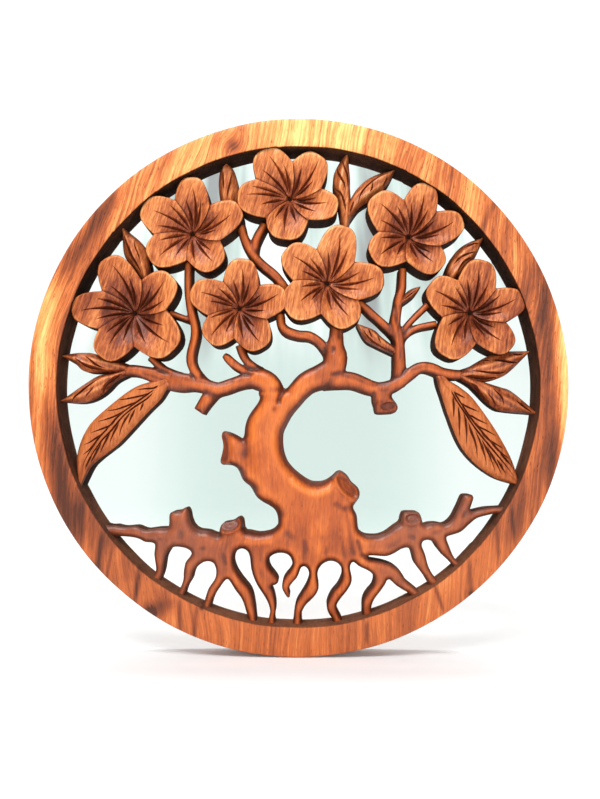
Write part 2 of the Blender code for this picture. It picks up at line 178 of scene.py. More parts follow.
def dropFlaps(shell):
    # Takes away faces that joining can leave back to back on the same corners
    bm = bmesh.new()
    bm.from_mesh(shell.data)
    byCorners = {}
    for face in bm.faces:
        byCorners.setdefault(frozenset(face.verts), []).append(face)
    flaps = [face for faces in byCorners.values() if len(faces) > 1 for face in faces]
    bmesh.ops.delete(bm, geom=flaps, context="FACES")
    bm.to_mesh(shell.data)
    bm.free()


# Cuts of a narrow gouge, made in the same way in flowers, leaves and buds

knife = dict(
    lift=1.6,          # how far the tool stands above the surface while it cuts
    spacing=2.2,       # distance between its stations
    taper=0.8,         # below 1, a cut stays wide for longer where it runs out
    opening=0.35,      # how much a cut's walls open per mm above the surface
    flank=0.62,        # share of its depth and width at which the walls turn in to the sole
    least=0.01,        # what is left of its width and depth at its ends
    relief=(0.6, 0.6, -0.35, -1, -0.35),     # painted highlight at its lips, painted shade along its sole
)


def surfaceUnder(shell):
    # Gives the depth of a shape's front at a point of the board
    mesh = shell.data
    skin = BVHTree.FromPolygons([v.co for v in mesh.vertices],
                                [tuple(p.vertices) for p in mesh.polygons])

    def depthAt(x, z):
        start = Vector((x * mm, -2.5 * board["thickness"] * mm, (z - mountHeight) * mm))
        hit = skin.ray_cast(start, Vector((0, 1, 0)))[0]
        return None if hit is None else hit.y / mm + board["thickness"]
    return depthAt


def gougeCut(name, depthAt, points, width, depth, entry, runOut):
    # The shape that a gouge takes away along the points: it goes in over the share entry of its
    # way, and comes out to a point over the share runOut
    line = spline(points, knife["spacing"])
    share = np.linspace(0, 1, len(line))
    sizes = np.minimum(np.clip(share / entry, 0, 1),
                       np.clip((1 - share) / runOut, 0, 1) ** knife["taper"])
    rings = []
    surface = None
    for (x, z), across, size in zip(line[:, :2], sideways(line), sizes):
        found = depthAt(x, z)
        surface = surface if found is None else found     # past an edge it goes on level
        if surface is None:
            continue
        half = width / 2 * size
        wide = across * (half + knife["opening"] * knife["lift"])
        narrow = across * (half * knife["flank"] + knife["least"])
        top = surface - knife["lift"]
        sole = surface + depth * size + 2 * knife["least"]
        flank = surface + knife["flank"] * depth * size + knife["least"]
        middle = np.array((x, z))
        rings.append([(*(middle + wide), top), (*(middle - wide), top),
                      (*(middle - narrow), flank), (x, z, sole), (*(middle + narrow), flank)])
    if len(rings) < 2:
        return None
    return loft(name, rings, ["knifeCut"], relief=knife["relief"] * len(rings))


def carve(shell, cuts):
    # Each cut is its points, width, depth, entry and runOut
    depthAt = surfaceUnder(shell)
    strokes = [gougeCut(f"cut {k}", depthAt, *cut) for k, cut in enumerate(cuts)]
    strokes = [stroke for stroke in strokes if stroke is not None]
    if strokes:
        combine(shell, strokes, "DIFFERENCE")
    return shell


# The finishes of the wood

class Socket:
    # One socket of a material; arithmetic on it adds the Math nodes
    def __init__(self, tree, plug=None):
        self.tree = tree
        self.plug = plug

    def node(self, kind, settings=None, values=None, output=0):
        made = self.tree.nodes.new(kind)
        for name, setting in (settings or {}).items():
            if name == "stops":
                stops = made.color_ramp.elements
                while len(stops) < len(setting):
                    stops.new(1)
                for stop, (position, colour) in zip(stops, setting):
                    stop.position = position
                    stop.color = (*colour, 1)
            else:
                setattr(made, name, setting)
        for name, value in (values or {}).items():
            if isinstance(value, Socket):
                self.tree.links.new(value.plug, made.inputs[name])
            else:
                made.inputs[name].default_value = value
        return Socket(self.tree, made.outputs[output])

    def also(self, output):
        # Another output of the same node
        return Socket(self.tree, self.plug.node.outputs[output])

    def math(self, operation, *others):
        values = dict(enumerate((self, *others)))
        return self.node("ShaderNodeMath", {"operation": operation}, values)

    def __add__(self, other):
        return self.math("ADD", other)

    def __sub__(self, other):
        return self.math("SUBTRACT", other)

    def __rsub__(self, other):
        return self.node("ShaderNodeMath", {"operation": "SUBTRACT"}, {0: other, 1: self})

    def __mul__(self, other):
        return self.math("MULTIPLY", other)

    def __truediv__(self, other):
        return self.math("DIVIDE", other)

    def __neg__(self):
        return self * -1

    def __abs__(self):
        return self.math("ABSOLUTE")

    __radd__ = __add__
    __rmul__ = __mul__

    def within(self, low, high):
        # 0 at low and 1 at high, with a soft step between; low may be the higher one
        return self.node("ShaderNodeMapRange", {"interpolation_type": "SMOOTHSTEP"},
                         {"Value": self, "From Min": low, "From Max": high})


# Marks in the board as (x, z, half width, half length, lean, strength): dark heartwood first,
# then pale sapwood
heartwood = (
    (-117, 84, 6.5, 27, 0.62, 0.55),
    (-133, -42, 7.0, 36, -0.2, 0.52),
    (-107, -96, 3.2, 22, 0.25, 0.26),
    (-119, -66, 7.0, 30, 0.25, 0.34),
    (-97, -104, 9.0, 24, 0.75, 0.16),
    (-106, 44, 2.2, 14, 0.05, 0.34),
    (-98, 42, 22, 30, 0.0, 0.2),
    (138, 2, 4.8, 64, -0.02, 0.46),
    (107, 94, 2.0, 14, 0.4, 0.34),
    (131, 62, 2.6, 24, 0.28, 0.2),
    (122, -68, 2.4, 22, 0.1, 0.2),
    (-79, -124, 8, 5, 1.6, 0.2),
    (-88, -113, 1.6, 14, 0.25, 0.2),
    (-122, 42, 4.5, 30, 0.15, 0.16),
    (122, 0, 22, 110, 0.0, 0.14),
    (70, -128, 60, 16, 0.0, 0.06),
    (-108.5, -95, 1.5, 12, 0.16, 0.34),
    (-103, -101, 1.0, 11, 0.2, 0.24),
    (-88, -111, 1.2, 9, 0.1, 0.3),
    (-65, -129, 1.2, 9, 0.0, 0.34),
    (-56.5, -132, 1.2, 9, 0.1, 0.28),
    (-73, -119, 4.5, 8, 0.0, 0.26),
    (38.2, -136, 1.0, 6, 0.0, 0.3),
    (77, -118, 1.2, 7, -0.35, 0.34),
    (94.5, -108, 1.2, 10, -0.05, 0.3),
    (109.5, -86, 1.2, 12, -0.05, 0.28),
    (118, -76, 1.2, 10, -0.1, 0.26),
    (130, -55, 6.0, 30, 0.45, 0.2),
    (-95, -79, 36, 13, 0.0, 0.2),
    (88, -74, 34, 13, 0.0, 0.14),
    (118, 86, 7, 24, 0.5, 0.13),
    (-60, 106, 13, 11, 0.0, 0.14),
)
sapwood = (
    (10, 143, 34, 16, 0.1, 0.30),
    (-140, 22, 5.0, 50, 0.06, 0.22),
    (148, -10, 4.0, 56, 0.0, 0.56),
    (0, -52, 30, 52, -0.35, 0.42),
    (-122, 36, 2.2, 16, 0.1, 0.22),
    (-3, 110, 12, 12, 0.0, 0.12),
    (-39, 116, 7, 12, 0.0, 0.1),
    (-98, -18, 10, 22, 0.6, 0.06),
)
# Knots as (x, z, size, reach of the halo, how dark the core is)
knots = (
    (-36.5, 134.5, 3.2, 8.0, 0.3),
    (-80, -126.5, 2.6, 6.0, 0.7),
    (-52, -123.5, 1.0, 3.0, 0.5),
    (94.5, -115.5, 1.0, 3.0, 0.5),
)

# Layers of the figure: cells per mm across and along the grain, detail, and a shift of its own
grains = dict(
    drift=(0.011, 0.009, 1.0, 3.0),      # these two bend the grain
    waver=(0.05, 0.02, 1.0, 9.0),
    broad=(0.07, 0.006, 2.0, 1.0),
    bands=(0.4, 0.02, 2.0, 5.0),
    lines=(0.95, 0.014, 3.0, 30.0),
    flecks=(0.95, 0.2, 2.0, 21.0),
    fine=(1.9, 0.12, 2.0, 7.0),
    pores=(1.7, 0.32, 1.0, 12.0),
)

# What every finish shares
wood = dict(
    through=0.6,             # cells of the grain into the board, as a share of those across
    drift=14,                # how many mm the grain wanders, in long and in short waves
    waver=2.5,
    lean=0.12,               # how it leans, bows and fans out over the board
    bow=0.0005,
    fan=0.0003,
    knotBend=0.75,           # how far it bends round a knot, and how dark the halo is
    knotHalo=0.16,
    broad=0.42,              # strength of the layers that no finish sets for itself
    bands=0.3,
    fine=0.22,
    pores=0.26,
    poreSizes=(0.3, 0.5),
    markWander=0.2,          # how far heartwood and sapwood follow the wandering grain
    calmHeights=(20, -110),  # from no calm to full calm, and so on below
    steepFacing=(0.8, 0.2),  # how squarely a face looks forwards
    lowDepths=(1.5, 7.5),
    dullAside=(26, 60),      # where the side roots lie, outwards and downwards
    dullHeights=(-56, -68),
    dullBrown=(0.25, 0.09, 0.055, 1),
    poreRough=0.15,
    fineRough=0.08,
    steepRough=0.1,
    poreHeight=0.3,
    fineHeight=0.08,
    facetsPerMetre=280,
    facetSoftness=0.35,
    bump=0.5,
    bumpDistance=0.0004,
    coat=0.15,               # wax, as a share of the gloss
    coatRoughness=0.25,
)

# A finish's tone is its place on its own scale of colours, which stops gives, and grain is the
# strength of its figure, with lines and flecks in it. The rest is off unless a finish sets it:
# calm quietens the figure towards the panel's foot, dull browns the side roots, rise is painted
# light from above that pales it upwards, or painted shade on the upper walls where negative,
# steepShade is painted shade on steep faces, relief is painted highlight on crests, partly
# wear, and painted shade in hollows, deepen is painted shade in low places, and facets are
# small marks of the tool
plain = dict(calm=0.0, dull=0.0, rise=0.0, steepShade=0.0, relief=0.0, deepen=0.0, facets=0.0)
looks = {
    "rimWood": dict(
        plain,
        stops=((0.0, (0.10, 0.028, 0.014)), (0.3, (0.34, 0.08, 0.026)),
               (0.52, (0.66, 0.17, 0.045)), (0.76, (0.90, 0.40, 0.12)),
               (1.0, (0.97, 0.74, 0.26))),
        tone=0.54, grain=0.85, flecks=0.16, lines=0.46, calm=0.45, rise=0.14, steepShade=0.25,
        roughness=0.42, gloss=0.25),
    "flowerWood": dict(
        plain,
        stops=((0.0, (0.08, 0.016, 0.006)), (0.3, (0.25, 0.05, 0.017)),
               (0.52, (0.50, 0.13, 0.038)), (0.78, (0.80, 0.28, 0.085)),
               (1.0, (0.95, 0.56, 0.24))),
        tone=0.56, grain=0.78, flecks=0.46, lines=0.25, rise=0.1, steepShade=0.3, relief=0.28,
        deepen=0.3, roughness=0.4, facets=0.3, gloss=0.24),
    "branchWood": dict(
        plain,
        stops=((0.0, (0.055, 0.012, 0.004)), (0.3, (0.21, 0.04, 0.012)),
               (0.52, (0.50, 0.10, 0.018)), (0.78, (0.82, 0.205, 0.034)),
               (1.0, (0.92, 0.45, 0.16))),
        tone=0.41, grain=0.36, flecks=0.32, lines=0.2, dull=0.42, steepShade=0.13, relief=0.26,
        deepen=0.1, roughness=0.35, facets=0.5, gloss=0.36),
    "leafWood": dict(
        plain,
        stops=((0.0, (0.055, 0.012, 0.005)), (0.3, (0.21, 0.045, 0.015)),
               (0.52, (0.48, 0.12, 0.032)), (0.78, (0.72, 0.23, 0.068)),
               (1.0, (0.90, 0.46, 0.2))),
        tone=0.71, grain=0.5, flecks=0.4, lines=0.2, steepShade=0.3, relief=0.3, deepen=0.1,
        roughness=0.38, facets=0.4, gloss=0.22),
    "budWood": dict(
        plain,
        stops=((0.0, (0.05, 0.011, 0.005)), (0.3, (0.20, 0.042, 0.015)),
               (0.52, (0.46, 0.115, 0.034)), (0.78, (0.70, 0.23, 0.072)),
               (1.0, (0.92, 0.52, 0.26))),
        tone=0.60, grain=0.55, flecks=0.6, lines=0.2, rise=0.08, steepShade=0.3, relief=0.32,
        roughness=0.35, facets=0.8, gloss=0.32),
    "knifeCut": dict(
        plain,
        stops=((0.0, (0.07, 0.014, 0.005)), (0.3, (0.19, 0.038, 0.013)),
               (0.52, (0.46, 0.115, 0.034)), (0.78, (0.78, 0.26, 0.075)),
               (1.0, (0.92, 0.5, 0.22))),
        tone=0.57, grain=0.6, flecks=0.42, lines=0.15, rise=0.1, steepShade=0.04, relief=0.34,
        deepen=0.24, roughness=0.5, gloss=0.08),
    # The sawn walls keep a dark brown of their own; their negative rise is painted shade, darker
    # upwards where the walls face down
    "sawnWood": dict(
        plain,
        stops=((0.0, (0.028, 0.011, 0.006)), (0.5, (0.115, 0.044, 0.023)),
               (1.0, (0.26, 0.1, 0.05))),
        tone=0.43, grain=0.7, flecks=0.3, lines=0.3, rise=-0.75, roughness=0.85, gloss=0.04),
    # A darker copy of the sawn wall for the tree's walls, as painted shade, and darker upwards as
    # painted shade
    "shadedLimbWall": dict(
        plain,
        stops=((0.0, (0.018, 0.006, 0.003)), (0.5, (0.07, 0.023, 0.011)),
               (1.0, (0.2, 0.07, 0.033))),
        tone=0.5, grain=0.7, flecks=0.3, lines=0.3, rise=-0.2, roughness=0.8, gloss=0.04),
    # Painted shade: near-black walls under the flowers, leaves and buds
    "shadedWood": dict(
        plain,
        stops=((0.0, (0.008, 0.003, 0.002)), (0.5, (0.035, 0.012, 0.006)),
               (1.0, (0.12, 0.04, 0.02))),
        tone=0.5, grain=0.7, flecks=0.3, lines=0.3, rise=-0.1, roughness=0.75, gloss=0.05),
    "backWood": dict(
        plain,
        stops=((0.0, (0.12, 0.045, 0.02)), (0.35, (0.30, 0.115, 0.045)),
               (0.6, (0.50, 0.23, 0.09)), (1.0, (0.70, 0.42, 0.2))),
        tone=0.5, grain=0.8, flecks=0.26, lines=0.4, rise=0.1, roughness=0.6, gloss=0.2),
}


def makeWood(name, look):
    material = bpy.data.materials.new(name)
    material.use_nodes = True
    shader = material.node_tree.nodes["Principled BSDF"]
    start = Socket(material.node_tree)
    spot = start.node("ShaderNodeTexCoord", output="Object")
    x = start.node("ShaderNodeSeparateXYZ", values={"Vector": spot})
    x, y, z = x * 1000, x.also(1) * 1000, x.also(2) * 1000 + mountHeight     # in millimetres

    def layer(kind, aside):
        # Noise from -1 to 1, stretched along the grain; aside is the distance across it
        across, along, detail, shift = grains[kind]
        stretched = start.node("ShaderNodeCombineXYZ", values={
            "X": aside * across + shift, "Y": y * (across * wood["through"]), "Z": z * along})
        return start.node("ShaderNodeTexNoise", values={
            "Vector": stretched, "Scale": 1.0, "Detail": detail}) * 2 - 1

    # The grain leans and wanders a little, and bends round the knots
    wander = layer("drift", x) * wood["drift"] + layer("waver", x) * wood["waver"]
    aside = x - z * wood["lean"] - z * z * wood["bow"] + x * z * wood["fan"] + wander
    knotted = 0
    for knotX, knotZ, size, halo, dark in knots:
        offX = (x - knotX) / halo
        offZ = (z - knotZ) / halo
        off = -(offX * offX + offZ * offZ)
        near = off.math("EXPONENT")
        aside = aside - near * offX * (halo * wood["knotBend"])
        core = (off * (halo / size) ** 2).math("EXPONENT")
        knotted = near * wood["knotHalo"] + core * dark + knotted

    fine = layer("fine", aside)
    pores = layer("pores", aside).within(*wood["poreSizes"])
    figure = (layer("broad", aside) * wood["broad"] + layer("bands", aside) * wood["bands"]
              + layer("lines", aside) * look["lines"] + layer("flecks", aside) * look["flecks"]
              + fine * wood["fine"] - pores * wood["pores"])
    figure = figure * (1 - z.within(*wood["calmHeights"]) * look["calm"])
    for marks, sign in ((heartwood, -1), (sapwood, 1)):
        for markX, markZ, width, length, lean, strength in marks:
            off = (x - markX - (z - markZ) * lean + wander * wood["markWander"]) / width
            along = (z - markZ) / length
            power = off * off + along * along * along * along
            figure = figure + (-power).math("EXPONENT") * (sign * strength)
    figure = figure - knotted

    # Painted shade darkens steep faces and low places such as the bowls, and the relief attribute
    # paints highlight on crests, partly wear, and shade in hollows
    normal = start.node("ShaderNodeNewGeometry", output="Normal")
    facing = abs(start.node("ShaderNodeSeparateXYZ", values={"Vector": normal}, output=1))
    steep = facing.within(*wood["steepFacing"])
    relief = start.node("ShaderNodeAttribute", {"attribute_name": "relief"}, output="Fac")
    low = (y + board["thickness"]).within(*wood["lowDepths"])
    # Painted light from above: rise pales a finish upwards, and where it is negative it darkens the
    # walls upwards as painted shade
    rise = z.within(-board["radius"], board["radius"]) - 0.5
    tone = (figure * look["grain"] + look["tone"] + rise * look["rise"] - steep * look["steepShade"]
            + relief * look["relief"] - low * look["deepen"])
    colour = start.node("ShaderNodeValToRGB", {"stops": look["stops"]}, {"Fac": tone})
    if look["dull"]:
        # The roots on either side have dulled to brown
        dulled = abs(x).within(*wood["dullAside"]) * z.within(*wood["dullHeights"]) * look["dull"]
        colour = start.node("ShaderNodeMix", {"data_type": "RGBA"},
                            {0: dulled, 6: colour, 7: wood["dullBrown"]}, output=2)
    material.node_tree.links.new(colour.plug, shader.inputs["Base Color"])

    rough = (look["roughness"] + pores * wood["poreRough"] + fine * wood["fineRough"]
             + steep * wood["steepRough"])
    material.node_tree.links.new(rough.plug, shader.inputs["Roughness"])
    shader.inputs["Specular IOR Level"].default_value = look["gloss"]
    shader.inputs["Coat Weight"].default_value = look["gloss"] * wood["coat"]
    shader.inputs["Coat Roughness"].default_value = wood["coatRoughness"]

    height = fine * wood["fineHeight"] - pores * wood["poreHeight"]
    if look["facets"]:
        gouged = start.node("ShaderNodeVectorMath", {"operation": "SCALE"},
                            {"Vector": spot, "Scale": wood["facetsPerMetre"]})
        facets = start.node("ShaderNodeTexVoronoi", {"feature": "SMOOTH_F1"},
                            {"Vector": gouged, "Scale": 1.0, "Smoothness": wood["facetSoftness"]})
        height = height + facets * look["facets"]
    bump = start.node("ShaderNodeBump", values={
        "Height": height, "Strength": wood["bump"], "Distance": wood["bumpDistance"]})
    material.node_tree.links.new(bump.plug, shader.inputs["Normal"])
    return material


for name, look in looks.items():
    finishes[name] = makeWood(name, look)
print("finishes made")


# The rim

rim = dict(
    segments=480,
    arris=1.0,          # rounding of its front edges, and points of it as shares in and down
    arrisShape=((0, 1), (0.09, 0.55), (0.35, 0.18), (1, 0)),
    outerWave=0.16,     # how far its edges and its front are from true, and in how many waves
    outerWaves=9,
    innerWave=0.3,
    innerWaves=14,
    faceWave=0.12,
    faceWaves=16,
    faceShape=((0.25, 1), (0.5, 0.3), (0.75, -1)),     # share of its width, share of that wave
    sideDepths=(13, 6.5),
    wallShape=((0.1, 7), (-0.1, 13)),     # points of its inner wall: offset and depth
    wallColumn=12,      # the point of its section from which it is sawn
    # Where the saw turned: angle, size, width
    kinks=((95.0, 0.35, 1.0), (126.4, 0.3, 0.8), (141.0, 0.3, 0.8), (160.0, 0.25, 0.8),
           (63.0, 0.25, 0.8), (33.0, 0.25, 0.8), (205.0, 0.25, 1.0), (318.0, 0.25, 1.0)),
)


def makeRim():
    outer = board["radius"]
    inner = outer - board["rimWidth"]
    back = board["thickness"] + board["sawAllowance"] / 2
    arris = [(rim["arris"] * inward, rim["arris"] * down) for inward, down in rim["arrisShape"]]
    sections = []
    for angle in np.arange(rim["segments"]) / rim["segments"] * math.tau + math.pi / 2:
        out = outer + rim["outerWave"] * (wobble(angle, 1, rim["outerWaves"]) - 1)
        into = inner + rim["innerWave"] * wobble(angle, 2, rim["innerWaves"])
        for kinkAngle, size, width in rim["kinks"]:
            turn = (math.degrees(angle) - kinkAngle + 180) % 360 - 180
            into += size * math.exp(-abs(turn / width) ** 1.5) * math.copysign(1, turn + 0.01)
        lie = rim["faceWave"] * wobble(angle, 3, rim["faceWaves"])
        section = [(out, back)] + [(out, depth) for depth in rim["sideDepths"]]
        section += [(out - inward, down) for inward, down in arris]
        section += [(out + (into - out) * share, lie * math.sin(share * math.pi) * bend)
                    for share, bend in rim["faceShape"]]
        section += [(into + inward, down) for inward, down in reversed(arris)]
        section += [(into + offset, depth) for offset, depth in rim["wallShape"]]
        section.append((into, back))
        sections.append([(r * math.cos(angle), r * math.sin(angle), depth)
                         for r, depth in section])
    return loft("rim", sections, ["rimWood", "sawnWood"], lambda i, j: j >= rim["wallColumn"],
                joinedRound=True)


# The trunk, the boughs, the twigs and the roots

tree = dict(
    gridStep=0.6,
    pastSides=4,             # how far its grid reaches past the rim's inner edge, or ends short
    pastFoot=5,              # of it under the flowers
    pastTop=-34,
    nearestToStep=0.08,      # its edge keeps this share of a step away from the grid's points
    shoulder=8.3,            # where a limb's rounded top meets the straight sawn wall
    shoulderDrop=1.8,        # and at least this far below its crest
    ridge=0.5,               # 0 for a round top, 1 for one that falls off evenly
    quarter=0.93,            # how much of a quarter round a round top follows, and its drop
    quarterDrop=0.632,
    shoulderWidth=5.5,       # how far in from its edge a wide limb is rounded
    sideFall=1.2,            # how steeply its top runs on past its sides, and past its ends
    endFall=3,
    fillet=1.5,              # rounding between limbs, seen from the front
    blendDepth=1.1,          # rounding between their tops
    sinkLength=7.0,          # a limb's foot sinks this deep into the one that it grows from
    sinkDepth=2.2,
    lineSpacing=2.0,         # distance between points along a limb, and along an outline
    outlineSpacing=1.2,
    margin=7,                # how far past its sides a limb is worked out
    outlineMargin=8,
    spread=16,               # how evenly the places on a mass blend into each other
    falloff=1.6,
    creaseEnds=(2, 3),       # mm over which a crease starts and runs out
    smoothing=0.4,
    unevenEdge=0.22,         # how far the saw and the knife wandered, and over what distance
    unevenTop=0.13,
    unevenSpan=2.6,
    crests=((5.0, 1.6), (1.6, 0.8)),     # mm round a crest, and how far a full one stands out
    depths=(0.5, 18.5),      # the highest and the lowest that its top may be
)

# Each limb: stations along its middle as (x, z, half width, depth of its crest)
limbs = {
    "left bough": ((-13, -8, 7, 4), (-16.5, 0, 6.6, 4), (-24, 2.8, 6, 5), (-31, 1, 4.2, 6),
                   (-42, -2.7, 3.9, 6), (-47, -2.9, 3.9, 6), (-58, 0.2, 4.5, 6),
                   (-70, 1.2, 5.6, 6.5), (-90, 7, 3.3, 7), (-98, 7.5, 3, 7.5)),
    "left stub": ((-47, -4, 4, 6), (-51.5, -9.5, 3.7, 6.5), (-55.8, -16, 3.4, 7.5)),
    "long left stem": ((-53, 0, 3, 6), (-58.2, 7, 2.7, 6.5), (-60.6, 15, 2.5, 7),
                       (-58.2, 29.5, 2.4, 7), (-61, 43, 2.3, 7.5), (-62.5, 55, 2.3, 8),
                       (-62.6, 70, 2.3, 8)),
    "short left twig": ((-25, 5, 3, 5.5), (-31, 7.8, 2.5, 6), (-36.5, 11.3, 2.5, 6.5),
                        (-40, 14.6, 2.3, 7), (-41.8, 16.3, 1.5, 8)),
    "twig to the inner flower": ((-21, 6.5, 3, 5.5), (-27, 11, 2.5, 6.5), (-30.3, 15, 2.4, 7),
                                 (-33, 22, 2.4, 8)),
    "twig to the far left flower": ((-66, 4, 2.2, 7), (-76, 8.3, 2, 7.5), (-84, 15, 2, 8)),
    "link to the far left flower": ((-58, 35, 1.6, 8), (-65, 37.6, 1.6, 8), (-73, 40.5, 1.8, 8)),
    "forked branch": ((-5, 51, 2.8, 8), (-12, 61, 2.7, 7.5), (-20, 67.8, 2.7, 7.5),
                      (-25.5, 73.8, 2.7, 7.5), (-30.3, 82.7, 2.5, 7.5), (-32.5, 91, 2.4, 8)),
    "fork arm": ((-25, 72, 2.4, 7.5), (-23.8, 82, 2.4, 7.5), (-19, 92, 2.4, 8)),
    "curled branch": ((18, 16, 3, 6.5), (12.7, 23.3, 2.7, 7), (6.8, 27, 2.6, 7),
                      (0.6, 27.7, 2.6, 7), (-6, 30, 2.6, 7.5), (-9.3, 33.8, 2.6, 7.5),
                      (-10, 40, 2.6, 8)),
    "right limb": ((-6, -11, 5.5, 4), (5, 0, 6.4, 4.2), (13, 3.8, 6.8, 5), (19.5, 8, 7, 5),
                   (21.6, 14.5, 6.6, 5.5), (21.2, 21, 5.2, 6), (22, 28, 3.9, 7),
                   (22.3, 38, 3.5, 8)),
    "right bough": ((15, 2, 5.5, 5), (30, 1.6, 4.8, 6), (42, -2.6, 4.2, 6), (47.5, -2.9, 3.7, 6),
                    (53, -1.8, 3.8, 6), (58, 1, 3.8, 6), (68.5, 8.6, 3.1, 6.5),
                    (76, 8.5, 3, 6.5), (82, 6, 3, 7), (88, 5, 3, 7), (95, 5, 2.6, 7.5)),
    "right stem": ((56.5, -1, 3.6, 6), (57.6, 8, 3.6, 6.5), (57.3, 26, 3.1, 7),
                   (55.5, 33.5, 2.8, 7), (57.6, 47.6, 2.5, 7.5), (59.4, 54.8, 2.4, 8),
                   (60, 66, 2.4, 8)),
    "twig to the middle flower": ((57, 24, 2.4, 7), (52.7, 30, 2.3, 7.5), (35, 46.5, 2.2, 8)),
    "upper twig to the far right flower": ((57, 26, 2, 7.5), (64, 35, 1.8, 8), (74, 45, 1.8, 8)),
    "lower twig to the far right flower": ((58, 23, 2, 7.5), (66, 31, 1.9, 8), (79, 34, 1.9, 8)),
}

